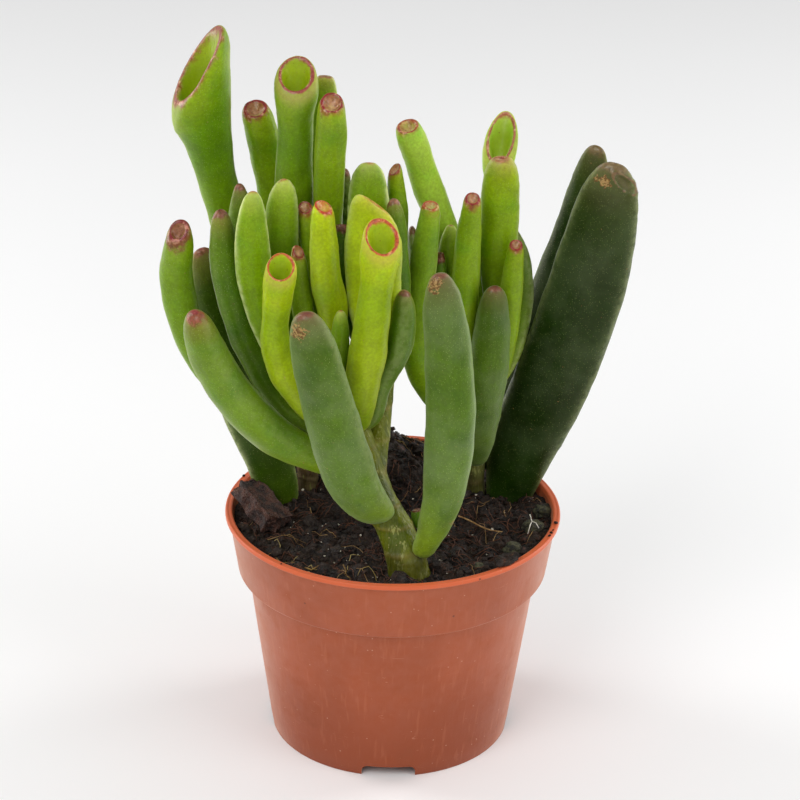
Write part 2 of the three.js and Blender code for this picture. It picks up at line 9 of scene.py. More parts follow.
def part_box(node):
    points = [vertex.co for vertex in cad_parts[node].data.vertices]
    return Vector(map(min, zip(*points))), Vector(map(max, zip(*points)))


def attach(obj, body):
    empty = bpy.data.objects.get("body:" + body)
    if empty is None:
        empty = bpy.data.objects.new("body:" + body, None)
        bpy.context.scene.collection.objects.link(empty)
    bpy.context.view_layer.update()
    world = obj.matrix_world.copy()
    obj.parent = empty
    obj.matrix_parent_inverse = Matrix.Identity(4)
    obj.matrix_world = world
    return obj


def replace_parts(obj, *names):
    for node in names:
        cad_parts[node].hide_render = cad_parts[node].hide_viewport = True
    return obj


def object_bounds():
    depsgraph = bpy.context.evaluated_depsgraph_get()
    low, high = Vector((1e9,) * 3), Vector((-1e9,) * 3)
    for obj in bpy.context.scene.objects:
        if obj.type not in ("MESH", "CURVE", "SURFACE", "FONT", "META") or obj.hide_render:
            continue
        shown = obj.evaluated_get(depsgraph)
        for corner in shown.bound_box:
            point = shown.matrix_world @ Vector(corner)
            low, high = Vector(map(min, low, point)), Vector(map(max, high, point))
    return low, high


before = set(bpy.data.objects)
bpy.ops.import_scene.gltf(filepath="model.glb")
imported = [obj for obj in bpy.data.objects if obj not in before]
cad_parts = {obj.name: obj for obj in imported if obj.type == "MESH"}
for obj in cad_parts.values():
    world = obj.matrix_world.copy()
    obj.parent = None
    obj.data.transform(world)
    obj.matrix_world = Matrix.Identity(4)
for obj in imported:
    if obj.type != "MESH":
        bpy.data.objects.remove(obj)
cadLow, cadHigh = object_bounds()
scene = bpy.context.scene
mm = 0.001
up = Vector((0, 0, 1))
fineRelief = 0.4 * mm  # how far fine grain stands out of a surface


def paint(red, green, blue):
    # a colour from everyday 0-255 values to the linear ones that shaders take
    def linear(value):
        value /= 255
        return value / 12.92 if value <= 0.04045 else ((value + 0.055) / 1.055) ** 2.4
    return (linear(red), linear(green), linear(blue), 1)


def smoothStep(low, high, value):
    t = min(1, max(0, (value - low) / (high - low)))
    return t * t * (3 - 2 * t)


def bumpyNoise(place, size, seed=0.0):
    # noise from -1 to 1 with features of about size metres
    return noise.noise(place / size + Vector((seed, seed * 1.7, -seed)))


def newPiece(name, bm, material, replaced=None, smooth=True):
    mesh = bpy.data.meshes.new(name)
    bm.to_mesh(mesh)
    bm.free()
    piece = bpy.data.objects.new(name, mesh)
    scene.collection.objects.link(piece)
    finishPiece(piece, material, replaced, smooth)
    return piece


def finishPiece(piece, material, replaced=None, smooth=True):
    piece.data.materials.clear()
    piece.data.materials.append(material)
    piece.data.polygons.foreach_set("use_smooth", [smooth] * len(piece.data.polygons))
    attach(piece, "root")
    if replaced:
        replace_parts(piece, replaced)


def bakeModifiers(piece):
    # the modifiers' result becomes the piece's own mesh
    graph = bpy.context.evaluated_depsgraph_get()
    mesh = bpy.data.meshes.new_from_object(piece.evaluated_get(graph))
    piece.modifiers.clear()
    piece.data = mesh


def nodeCopy(node):
    # a CAD node's mesh with its doubled corners merged
    bm = bmesh.new()
    bm.from_mesh(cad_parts[node].data)
    bmesh.ops.remove_doubles(bm, verts=bm.verts, dist=2e-6)
    return bm


def moveAlongNormals(mesh, distance):
    # pushes each corner out by distance(place, normal, index)
    shifts = [(v.co + v.normal * distance(v.co, v.normal, v.index)) for v in mesh.vertices]
    for vertex, place in zip(mesh.vertices, shifts):
        vertex.co = place
    mesh.update()


class shaderTree:
    # short ways to put nodes in a material's or a group's tree

    def __init__(self, tree):
        self.tree = tree
        self.across = 0

    def node(self, kind, **settings):
        made = self.tree.nodes.new(kind)
        self.across += 180
        made.location = (self.across, 0)
        for name, value in settings.items():
            setattr(made, name, value)
        return made

    def wire(self, value, socket):
        if isinstance(value, bpy.types.NodeSocket):
            self.tree.links.new(value, socket)
        else:
            socket.default_value = value

    def math(self, operation, first, second=0.0, clamp=False):
        made = self.node("ShaderNodeMath", operation=operation, use_clamp=clamp)
        self.wire(first, made.inputs[0])
        self.wire(second, made.inputs[1])
        return made.outputs[0]

    def mix(self, factor, first, second):
        made = self.node("ShaderNodeMix", data_type="RGBA", clamp_factor=True)
        self.wire(factor, made.inputs[0])
        self.wire(first, made.inputs[6])
        self.wire(second, made.inputs[7])
        return made.outputs[2]

    def tone(self, colour, value):
        made = self.node("ShaderNodeHueSaturation")
        self.wire(colour, made.inputs["Color"])
        self.wire(value, made.inputs["Value"])
        return made.outputs[0]

    def step(self, value, low, high, first=0.0, last=1.0):
        made = self.node("ShaderNodeMapRange", interpolation_type="SMOOTHSTEP")
        for index, part in enumerate((value, low, high, first, last)):
            self.wire(part, made.inputs[index])
        return made.outputs[0]

    def place(self, scale=(1, 1, 1), shift=0.0):
        coords = self.node("ShaderNodeTexCoord")
        mapping = self.node("ShaderNodeMapping")
        self.wire(coords.outputs["Object"], mapping.inputs["Vector"])
        mapping.inputs["Scale"].default_value = scale
        mapping.inputs["Location"].default_value = (shift, shift, shift)
        return mapping.outputs[0]

    def noise(self, vector, scale, detail=2.0, rough=0.5, warp=0.0):
        made = self.node("ShaderNodeTexNoise")
        self.wire(vector, made.inputs["Vector"])
        made.inputs["Scale"].default_value = scale
        made.inputs["Detail"].default_value = detail
        made.inputs["Roughness"].default_value = rough
        made.inputs["Distortion"].default_value = warp
        return made.outputs[0]

    def attribute(self, name):
        return self.node("ShaderNodeAttribute", attribute_name=name).outputs["Fac"]


def newMaterial(name, **principled):
    material = bpy.data.materials.new(name)
    material.use_nodes = True
    tree = material.node_tree
    shader = next(n for n in tree.nodes if n.type == "BSDF_PRINCIPLED")
    for key, value in principled.items():
        shader.inputs[key.replace("_", " ")].default_value = value
    return material, shaderTree(tree), shader


def newGroup(name, inputs, outputs):
    group = bpy.data.node_groups.new(name, "ShaderNodeTree")
    for label, kind, value in inputs:
        socket = group.interface.new_socket(label, in_out="INPUT", socket_type=kind)
        socket.default_value = value
    for label, kind in outputs:
        group.interface.new_socket(label, in_out="OUTPUT", socket_type=kind)
    tree = shaderTree(group)
    return group, tree, tree.node("NodeGroupInput"), tree.node("NodeGroupOutput")


def useGroup(tree, group, **values):
    made = tree.node("ShaderNodeGroup")
    made.node_tree = group
    for key, value in values.items():
        tree.wire(value, made.inputs[key.replace("_", " ")])
    return made


def addBump(tree, shader, height, strength, distance):
    bump = tree.node("ShaderNodeBump")
    bump.inputs["Strength"].default_value = strength
    bump.inputs["Distance"].default_value = distance
    tree.wire(height, bump.inputs["Height"])
    tree.wire(bump.outputs[0], shader.inputs["Normal"])


def makeMottle():
    # two-colour clouding with fine grain on top
    group, tree, given, out = newGroup("mottle", [
        ("First", "NodeSocketColor", (0.5, 0.5, 0.5, 1)),
        ("Second", "NodeSocketColor", (0.4, 0.4, 0.4, 1)),
        ("Vector", "NodeSocketVector", (0, 0, 0)),
        ("Size", "NodeSocketFloat", 200.0),
        ("Grain", "NodeSocketFloat", 0.2),
    ], [("Color", "NodeSocketColor")])
    cloud = tree.node("ShaderNodeTexNoise")
    tree.wire(given.outputs["Vector"], cloud.inputs["Vector"])
    tree.wire(given.outputs["Size"], cloud.inputs["Scale"])
    cloud.inputs["Detail"].default_value = 3
    fine = tree.node("ShaderNodeTexNoise")
    tree.wire(given.outputs["Vector"], fine.inputs["Vector"])
    tree.wire(tree.math("MULTIPLY", given.outputs["Size"], 9.0), fine.inputs["Scale"])
    fine.inputs["Detail"].default_value = 2
    mask = tree.step(cloud.outputs[0], 0.35, 0.65)
    colour = tree.mix(mask, given.outputs["First"], given.outputs["Second"])
    tone = tree.math("MULTIPLY", tree.math("SUBTRACT", fine.outputs[0], 0.5), given.outputs["Grain"])
    bright = tree.node("ShaderNodeBrightContrast")
    tree.wire(colour, bright.inputs["Color"])
    tree.wire(tone, bright.inputs["Bright"])
    tree.wire(bright.outputs[0], out.inputs["Color"])
    return group


def makeSpecks():
    # sparse round dots: 1 in a dot, 0 between
    group, tree, given, out = newGroup("specks", [
        ("Vector", "NodeSocketVector", (0, 0, 0)),
        ("Scale", "NodeSocketFloat", 400.0),
        ("Radius", "NodeSocketFloat", 0.2),
        ("Share", "NodeSocketFloat", 0.3),
    ], [("Mask", "NodeSocketFloat")])
    dots = tree.node("ShaderNodeTexVoronoi")
    tree.wire(given.outputs["Vector"], dots.inputs["Vector"])
    tree.wire(given.outputs["Scale"], dots.inputs["Scale"])
    inside = tree.step(dots.outputs["Distance"], tree.math("MULTIPLY", given.outputs["Radius"], 0.5),
                       given.outputs["Radius"], 1.0, 0.0)
    split = tree.node("ShaderNodeSeparateColor")
    tree.wire(dots.outputs["Color"], split.inputs[0])
    chosen = tree.math("LESS_THAN", split.outputs[0], given.outputs["Share"])
    tree.wire(tree.math("MULTIPLY", inside, chosen), out.inputs["Mask"])
    return group


mottle = makeMottle()
specks = makeSpecks()


# what is painted on a leaf's rings, counted from its base: the red cap and rim, the pale
# window in a cap, the clear hollow of a mouth, and painted shade on the neck under a mouth's head
ringPaint = {
    11: {"cap": {8: 0.1, 9: 0.75, 10: 1}, "rim": {9: 0.42, 10: 1}, "pale": {8: 0.2, 9: 0.5}},
    12: {"cap": {7: 0.06, 8: 0.6, 9: 0.95, 10: 0.9, 11: 0.8}, "rim": {8: 0.4, 9: 1, 10: 0.15},
         "pale": {10: 0.4, 11: 1}},
    15: {"cap": {8: 0.06, 9: 0.42, 10: 0.9, 11: 0.5}, "rim": {10: 1, 11: 0.25}, "pale": {10: 0.1},
         "mouth": {11: 0.6, 12: 1, 13: 1, 14: 1}, "neckShade": {5: 0.5, 6: 0.85, 7: 0.8}},
    16: {"cap": {10: 0.16, 11: 0.6, 12: 0.4}, "rim": {11: 1, 12: 0.42}, "pale": {10: 0.4, 11: 0.2},
         "mouth": {12: 0.6, 13: 1, 14: 1, 15: 1}, "neckShade": {5: 0.35, 6: 0.75, 7: 0.6}},
}
ringMarks = ("cap", "rim", "pale", "mouth", "neckShade")

# the finish of each kind of leaf: its greens from base to top, its red tip, the colour of
# its painted edge light, how far the red reaches, how much wax, dots and clear edge show, and
# where the painted edge light on its turning side begins, if that isn't the usual place
leafLooks = {
    "lime": {"base": (150, 172, 40), "middle": (168, 188, 8), "top": (188, 200, 20), "deep": (122, 158, 4),
             "tip": (186, 44, 30), "tipPale": (232, 170, 110), "edgeLight": (208, 214, 66),
             "reach": 0.26, "bloom": 0.02, "dots": 0.5, "edge": 0.6},
    "bright": {"base": (166, 192, 44), "middle": (164, 196, 58), "top": (174, 198, 72),
               "deep": (92, 156, 10), "tip": (156, 54, 42), "tipPale": (222, 176, 130),
               "edgeLight": (214, 228, 130), "reach": 0.25, "bloom": 0.04, "dots": 0.5, "edge": 0.9},
    "fresh": {"base": (134, 160, 28), "middle": (122, 152, 2), "top": (164, 174, 12), "deep": (72, 120, 0),
              "tip": (140, 30, 38), "tipPale": (226, 172, 142), "edgeLight": (178, 196, 54),
              "reach": 0.42, "bloom": 0.04, "dots": 0.8, "edge": 0.8},
    "clear": {"base": (128, 158, 34), "middle": (120, 154, 4), "top": (164, 184, 52), "deep": (60, 112, 0),
              "tip": (178, 66, 50), "tipPale": (214, 210, 140), "edgeLight": (204, 220, 120),
              "reach": 0.22, "bloom": 0.05, "dots": 0.7, "edge": 1.5},
    "dusky": {"base": (116, 144, 28), "middle": (82, 118, 2), "top": (112, 126, 18), "deep": (44, 88, 0),
              "tip": (108, 30, 40), "tipPale": (190, 124, 112), "edgeLight": (160, 174, 70),
              "reach": 0.8, "bloom": 0.07, "dots": 1.1, "edge": 0.9},
    "green": {"base": (120, 148, 26), "middle": (108, 142, 4), "top": (136, 152, 10), "deep": (54, 100, 0),
              "tip": (120, 28, 38), "tipPale": (206, 140, 122), "edgeLight": (160, 184, 64),
              "reach": 0.55, "bloom": 0.05, "dots": 0.9, "edge": 0.9},
    "belly": {"base": (146, 166, 40), "middle": (102, 134, 6), "top": (92, 116, 12), "deep": (66, 110, 2),
              "tip": (128, 30, 40), "tipPale": (196, 110, 96), "edgeLight": (146, 164, 58),
              "reach": 0.6, "bloom": 0.07, "dots": 1.1, "edge": 0.5},
    "old": {"base": (132, 154, 32), "middle": (76, 106, 16), "top": (58, 78, 22), "deep": (34, 68, 4),
            "tip": (112, 44, 42), "tipPale": (160, 104, 84), "edgeLight": (158, 178, 122),
            "reach": 0.45, "bloom": 0.26, "dots": 1.0, "edge": 0.4, "edgeLightFrom": 0.12},
    "dark": {"base": (44, 74, 10), "middle": (18, 42, 2), "top": (58, 74, 14), "deep": (8, 28, 0),
             "tip": (112, 84, 54), "tipPale": (150, 128, 96), "edgeLight": (84, 108, 50),
             "reach": 0.55, "bloom": 0.1, "dots": 0.6, "edge": 0.3},
    # the shaded look is a darkened green: painted shade for a leaf that sits in shadow
    "shaded": {"base": (112, 136, 26), "middle": (48, 76, 4), "top": (96, 118, 14), "deep": (26, 54, 0),
               "tip": (120, 28, 38), "tipPale": (206, 140, 122), "edgeLight": (124, 146, 50),
               "reach": 0.5, "bloom": 0.05, "dots": 0.8, "edge": 0.7},
}

# leaves that aren't named here are green
leafKinds = {
    "lime": ["trumpet_leaf_2", "trumpet_leaf_3", "finger_leaf_7", "blade_leaf_6"],
    "bright": ["finger_leaf_12", "trumpet_leaf_4"],
    "fresh": ["horn_leaf", "trumpet_leaf_1", "finger_leaf_1", "finger_leaf_2", "finger_leaf_5",
              "finger_leaf_6", "finger_leaf_10", "finger_leaf_13", "finger_leaf_15", "blade_leaf_8"],
    "clear": ["blade_leaf_2", "blade_leaf_3", "blade_leaf_5", "blade_leaf_9", "finger_leaf_8",
              "finger_leaf_14"],
    "dusky": ["finger_leaf_3", "finger_leaf_9", "finger_leaf_11", "pointed_leaf_1", "pointed_leaf_2",
              "blade_leaf_4", "blade_leaf_7", "bud_leaf_1", "bud_leaf_2"],
    "belly": ["paddle_leaf_2", "blade_leaf_10"],
    "old": ["paddle_leaf_1", "paddle_leaf_3", "paddle_leaf_4"],
    "dark": ["paddle_leaf_5", "paddle_leaf_6"],
    "shaded": ["paddle_leaf_7"],
}
kindOfLeaf = {name: kind for kind, names in leafKinds.items() for name in names}

# corky scars on the front: share of the leaf's width and height, and size
corkScars = {
    "paddle_leaf_1": [(0.09, 0.93, 3.1 * mm)],
    "paddle_leaf_3": [(0.22, 0.965, 3.1 * mm), (0.7, 0.12, 2 * mm)],
    "paddle_leaf_6": [(0.75, 0.958, 2.7 * mm), (0.69, 0.962, 1.3 * mm)],
}
# the shut mouth near an old leaf's top: share of width and height, half length, half width, tilt
shutMouths = {"paddle_leaf_6": (0.895, 0.955, 3.7 * mm, 1.5 * mm, -40)}


def makeLeafSkin():
    # colour, roughness and relief of a succulent's skin, from the leaf's own attributes
    colours = ("Base", "Middle", "Top", "Deep", "Tip", "Tip Pale")
    values = (("Reach", 0.5), ("Bloom", 0.2), ("Dots", 0.5), ("Edge", 0.5))
    inputs = [(label, "NodeSocketColor", (0.2, 0.4, 0.05, 1)) for label in colours]
    inputs += [(label, "NodeSocketFloat", value) for label, value in values]
    group, tree, given, out = newGroup("leafSkin", inputs, [
        ("Color", "NodeSocketColor"), ("Roughness", "NodeSocketFloat"), ("Gloss", "NodeSocketFloat"),
        ("Height", "NodeSocketFloat")])
    take = given.outputs
    along, cap, rim, pale, mouth, neckShade, edge, cork = (
        tree.attribute(name) for name in ("along", *ringMarks, "edge", "cork"))
    where = tree.place()

    # greens: paler at the base and the top, clouded, with a fine cell pattern
    green = tree.mix(tree.step(along, 0.02, 0.42), take["Base"], take["Middle"])
    green = tree.mix(tree.step(along, 0.55, 0.97), green, take["Top"])
    cloud = tree.noise(where, 120, 3, 0.55)
    # deeper green in random clouds, and painted shade on the neck under a mouth's head
    deepCloudAndShade = tree.math("MAXIMUM", tree.step(cloud, 0.45, 0.72, 0, 0.6),
                       tree.math("MULTIPLY", neckShade, 0.85))
    green = tree.mix(deepCloudAndShade, green, take["Deep"])
    cellular = tree.noise(where, 1500, 3, 0.6)
    green = tree.tone(green, tree.step(cellular, 0.3, 0.72, 0.88, 1.15))
    green = tree.tone(green, tree.step(tree.noise(where, 240, 3), 0.32, 0.68, 0.9, 1.12))

    # pale pores and clear edges
    pores = useGroup(tree, specks, Vector=where, Scale=2300.0, Radius=0.26, Share=0.6).outputs[0]
    showing = tree.math("MULTIPLY", tree.math("MULTIPLY", pores, take["Dots"]), 0.34, clamp=True)
    green = tree.mix(showing, green, paint(186, 200, 120))
    beads = tree.step(tree.noise(where, 620, 2), 0.3, 0.6, 0.3, 1.0)
    narrow = tree.math("POWER", edge, 3.0)
    clear = tree.math("MULTIPLY", tree.math("MULTIPLY", narrow, take["Edge"]), beads)
    green = tree.mix(tree.math("MULTIPLY", clear, 0.6, clamp=True), green, paint(218, 226, 160))

    # waxy bloom, in soft patches
    haze = tree.step(tree.noise(where, 70, 4, 0.6), 0.38, 0.66)
    waxed = tree.math("MULTIPLY", take["Bloom"], tree.step(along, 0.05, 0.3))
    haze = tree.math("MULTIPLY", haze, waxed)
    green = tree.mix(haze, green, paint(136, 152, 108))

    # the hollow of a mouth is a clear yellow-green
    green = tree.mix(tree.math("MULTIPLY", mouth, 0.75), green, paint(142, 168, 18))

    # red cap: even round the rim, patchy below, paler in its window
    patchy = tree.noise(where, 460, 3, 0.6)
    wander = tree.math("MULTIPLY", tree.math("SUBTRACT", patchy, 0.5), 0.9)
    low = tree.math("SUBTRACT", 1.0, take["Reach"])
    capMask = tree.step(tree.math("ADD", cap, wander), tree.math("MULTIPLY", low, 0.7),
                        tree.math("ADD", low, 0.25))
    rimMask = tree.step(tree.math("ADD", rim, tree.math("MULTIPLY", wander, 0.8)), 0.5, 0.82)
    rimMask = tree.math("MULTIPLY", rimMask, tree.step(take["Reach"], 0.0, 0.3, 0.5, 1.0))
    red = tree.math("MAXIMUM", tree.math("MULTIPLY", capMask, 0.85), rimMask)
    waxy = tree.step(tree.noise(where, 560, 3, 0.65), 0.5, 0.7, 0, 0.8)
    streaks = tree.step(tree.noise(where, 800, 3, 0.6), 0.36, 0.62, 0.3, 0.95)
    waxy = tree.math("MAXIMUM", waxy, tree.math("MULTIPLY", pale, streaks))
    tipColour = tree.mix(waxy, take["Tip"], take["Tip Pale"])
    tipColour = tree.tone(tipColour, tree.step(tree.noise(where, 1300, 2), 0.45, 0.7, 1.0, 0.6))
    colour = tree.mix(red, green, tipColour)
    cream = tree.math("MULTIPLY", tree.math("MULTIPLY", pale, tree.math("SUBTRACT", 1.0, red)), 0.6)
    colour = tree.mix(cream, colour, take["Tip Pale"])

    # a few brown spots under the cap, and cork over old wounds
    spots = useGroup(tree, specks, Vector=where, Scale=700.0, Radius=0.19, Share=0.3).outputs[0]
    spots = tree.math("MULTIPLY", spots, tree.step(along, 0.7, 0.95, 0.04, 0.6))
    colour = tree.mix(spots, colour, paint(104, 48, 26))
    broken = tree.math("MULTIPLY", tree.math("SUBTRACT", tree.noise(where, 1000, 3, 0.7), 0.5), 2.2)
    corkMask = tree.step(tree.math("ADD", cork, broken), 0.42, 0.55, 0, 0.85)
    corky = tree.mix(tree.step(tree.noise(where, 1600, 2), 0.4, 0.6), paint(178, 142, 90),
                     paint(108, 70, 40))
    colour = tree.mix(corkMask, colour, corky)
    tree.wire(colour, out.inputs["Color"])

    rough = tree.step(cellular, 0.3, 0.7, 0.3, 0.44)
    rough = tree.math("ADD", rough, tree.math("MULTIPLY", haze, 0.4))
    rough = tree.math("ADD", rough, tree.math("MULTIPLY", corkMask, 0.3))
    tree.wire(rough, out.inputs["Roughness"])
    tree.wire(tree.math("ADD", tree.math("MULTIPLY", red, 0.45), 0.05), out.inputs["Gloss"])
    height = tree.math("ADD", tree.math("MULTIPLY", cellular, 0.6), tree.math("MULTIPLY", pores, 0.3))
    height = tree.math("ADD", height, tree.math("MULTIPLY", tree.noise(where, 300, 3), 0.9))
    height = tree.math("ADD", height, tree.math("MULTIPLY", corkMask, tree.noise(where, 1200, 2)))
    tree.wire(height, out.inputs["Height"])
    return group


leafSkin = makeLeafSkin()


def leafMaterial(name, look):
    material, tree, shader = newMaterial("skin_" + name, Subsurface_Weight=0.2, Subsurface_Scale=4 * mm,
                                         IOR=1.42, Specular_IOR_Level=0.34, Coat_Roughness=0.16)
    shader.inputs["Subsurface Radius"].default_value = (0.6, 1.0, 0.1)
    shader.inputs["Specular Tint"].default_value = paint(255, 250, 200)
    colours = {key.title(): paint(*look[key]) for key in ("base", "middle", "top", "deep", "tip")}
    skin = useGroup(tree, leafSkin, Tip_Pale=paint(*look["tipPale"]), Reach=look["reach"],
                    Bloom=look["bloom"], Dots=look["dots"], Edge=look["edge"], **colours)
    # painted edge light: the colour turns paler where the skin turns away from view, in place of light
    # through the thin rounded edge
    facing = tree.node("ShaderNodeLayerWeight")
    facing.inputs["Blend"].default_value = 0.3
    edgeLight = tree.step(facing.outputs["Facing"], look.get("edgeLightFrom", 0.3), 1.0, 0.0, 0.6)
    tree.wire(tree.mix(edgeLight, skin.outputs["Color"], paint(*look["edgeLight"])), shader.inputs["Base Color"])
    tree.wire(skin.outputs["Roughness"], shader.inputs["Roughness"])
    tree.wire(skin.outputs["Gloss"], shader.inputs["Coat Weight"])
    addBump(tree, shader, skin.outputs["Height"], 0.35, fineRelief)
    return material


leafMaterials = {name: leafMaterial(name, look) for name, look in leafLooks.items()}

leafShape = {
    "hold": 0.9, "foot": 1.3, "sink": 1.3 * mm, "levels": 3, "lump": 0.34 * mm, "lumpSize": 7 * mm,
    "pimple": 0.08 * mm, "pimpleSize": 1.5 * mm, "bead": 0.2 * mm, "beadSize": 2 * mm, "fullWidth": 8 * mm,
    "lipWidth": 0.35, "lipRise": 0.35 * mm, "mouthDepth": 1.1 * mm,
}
frontLimit = 0.1  # a normal with y under this looks to the front


soilLeaves = ("paddle_leaf_6", "paddle_leaf_7")


def ringNumbers(bm):
    # each corner's ring, counted from the leaf's base
    poles = sorted((v for v in bm.verts if len(v.link_edges) >= 9), key=lambda v: v.co.z)
    rings = {poles[0]: 0}
    front = [poles[0]]
    while front:
        following = []
        for vertex in front:
            for edge in vertex.link_edges:
                other = edge.other_vert(vertex)
                if other not in rings:
                    rings[other] = rings[vertex] + 1
                    following.append(other)
        front = following
    return rings


def quadRings(bm, rings):
    # takes out the diagonal of each four-sided patch
    last = max(rings.values())
    diagonals = set()
    for face in bm.faces:
        corners = list(face.verts)
        numbers = [rings[v] for v in corners]
        low = min(numbers)
        if numbers.count(low) == 2 and low + 1 < last:
            top = numbers.index(low + 1)
            second = corners[(top + 2) % 3]
            diagonals.add(bm.edges.get((corners[top], second)))
    bmesh.ops.dissolve_edges(bm, edges=list(diagonals), use_verts=False)


def holdShape(piece, share):
    # moves the corners out, so that the rounded skin passes through their old places
    graph = bpy.context.evaluated_depsgraph_get()
    rounded = piece.evaluated_get(graph).data
    shrunk = [rounded.vertices[v.index].co - v.co for v in piece.data.vertices]
    for vertex, shift in zip(piece.data.vertices, shrunk):
        vertex.co -= shift * share
    piece.data.update()


def mouthReach(name, place):
    # how far a place lies from the middle of the leaf's shut mouth, 1 at its rim
    low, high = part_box(name)
    across, upward, long, wide, tilt = shutMouths[name]
    x = place.x - (low.x + across * (high.x - low.x))
    z = place.z - (low.z + upward * (high.z - low.z))
    turn = math.radians(tilt)
    along = x * math.cos(turn) + z * math.sin(turn)
    aside = z * math.cos(turn) - x * math.sin(turn)
    return math.hypot(along / long, aside / wide)


def paintMarks(piece, name):
    # cork and shut mouths, painted on the front of the finished skin
    low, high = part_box(name)
    cork = piece.data.attributes.new("cork", "FLOAT", "POINT")
    if name not in corkScars and name not in shutMouths:
        return
    shares = []
    for vertex in piece.data.vertices:
        share = 0.0
        for across, upward, size in corkScars.get(name, []):
            x, z = low.x + across * (high.x - low.x), low.z + upward * (high.z - low.z)
            away = math.hypot(vertex.co.x - x, vertex.co.z - z) / size
            share = max(share, 1 - away if vertex.normal.y < frontLimit else 0)
        shares.append(share)
    cork.data.foreach_set("value", shares)
    if name in shutMouths:
        rim, pale = piece.data.attributes["rim"].data, piece.data.attributes["pale"].data
        for vertex in piece.data.vertices:
            if vertex.normal.y < frontLimit:
                reach, i = mouthReach(name, vertex.co), vertex.index
                lip = smoothStep(leafShape["lipWidth"], 0.0, abs(reach - 1))
                rim[i].value = max(rim[i].value, lip)
                pale[i].value = max(pale[i].value, smoothStep(1.0, 0.5, reach) * 0.5)


def buildLeaf(name, index):
    bm = nodeCopy(name)
    layers = {key: bm.verts.layers.float.new(key) for key in ("along", "edge", *ringMarks)}
    rings = ringNumbers(bm)
    quadRings(bm, rings)
    count = max(rings.values()) + 1
    members = [[v for v in bm.verts if rings[v] == k] for k in range(count)]
    centres = [sum((v.co for v in group), Vector()) / len(group) for group in members]
    for k, group in enumerate(members):
        reach = [(v.co - centres[k]).length for v in group]
        most, least = max(reach), min(reach)
        for vertex, distance in zip(group, reach):
            vertex[layers["along"]] = k / (count - 1)
            for key in ringMarks:
                vertex[layers[key]] = ringPaint[count].get(key, {}).get(k, 0.0)
            flat = 1 - least / most if most else 0
            outer = smoothStep(0.8, 1, distance / most if most else 0)
            vertex[layers["edge"]] = outer * min(1, 2 * flat + 0.2)
    down = (centres[0] - centres[2]).normalized()
    material = leafMaterials[kindOfLeaf.get(name, "green")]
    piece = newPiece("skin_" + name, bm, material, name)
    subdivide = piece.modifiers.new("Subdivision", "SUBSURF")
    subdivide.levels = subdivide.render_levels = leafShape["levels"]
    holdShape(piece, leafShape["hold"])
    if name not in soilLeaves:  # the foot is widened and sunk a little, to meet the stem
        footShare = 1 / (count - 1) + 0.001
        shares = piece.data.attributes["along"].data
        for vertex in piece.data.vertices:
            if shares[vertex.index].value <= footShare:
                wider = (vertex.co - centres[1]) * leafShape["foot"]
                vertex.co = centres[1] + wider + down * leafShape["sink"]
    bakeModifiers(piece)
    edges = [0.0] * len(piece.data.vertices)
    piece.data.attributes["edge"].data.foreach_get("value", edges)
    seed = index * 3.1
    thin = min(1, leastWidth(name) / leafShape["fullWidth"])

    def relief(place, normal, i):
        lump = bumpyNoise(place, leafShape["lumpSize"], seed) * leafShape["lump"]
        pimple = bumpyNoise(place, leafShape["pimpleSize"], seed + 9) * leafShape["pimple"]
        bead = max(0, bumpyNoise(place, leafShape["beadSize"], seed + 4)) * leafShape["bead"] * edges[i]
        dent = 0
        if name in shutMouths and normal.y < frontLimit:
            reach = mouthReach(name, place)
            dent = smoothStep(leafShape["lipWidth"], 0, abs(reach - 1.05)) * leafShape["lipRise"]
            dent -= smoothStep(1, 0.3, reach) * leafShape["mouthDepth"]
        return (lump + pimple) * thin + bead + dent

    paintMarks(piece, name)
    moveAlongNormals(piece.data, relief)
    piece.data.polygons.foreach_set("use_smooth", [True] * len(piece.data.polygons))


def leastWidth(name):
    low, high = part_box(name)
    return min(high.x - low.x, high.y - low.y)


leafNodes = sorted(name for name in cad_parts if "_leaf" in name)
for number, leafName in enumerate(leafNodes):
    buildLeaf(leafName, number)
print("leaves", len(leafNodes))


stemFinish = {
    "front_stem": {"skin": (128, 134, 18), "shade": (84, 96, 8), "scar": (150, 128, 60), "rough": 0.4,
                   "grain": 0.3},
    "back_stem": {"skin": (140, 112, 78), "shade": (84, 60, 38), "scar": (176, 150, 112), "rough": 0.8,
                  "grain": 0.9},
    "right_stem": {"skin": (120, 124, 62), "shade": (84, 80, 42), "scar": (160, 132, 88), "rough": 0.6,
                   "grain": 0.5},
}
stemShape = {
    "voxel": 0.42 * mm, "smoothing": 14, "swell": 0.2 * mm, "ringStep": 6.5 * mm, "ringDepth": 0.17 * mm,
    "wander": 2.4 * mm, "wanderSize": 9 * mm, "patchSize": 6 * mm, "lump": 0.4 * mm, "lumpSize": 4.5 * mm,
    "pimple": 0.09 * mm, "pimpleSize": 1.4 * mm,
}
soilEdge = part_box("nursery_pot")[1].z  # the soil lies just under the pot's top


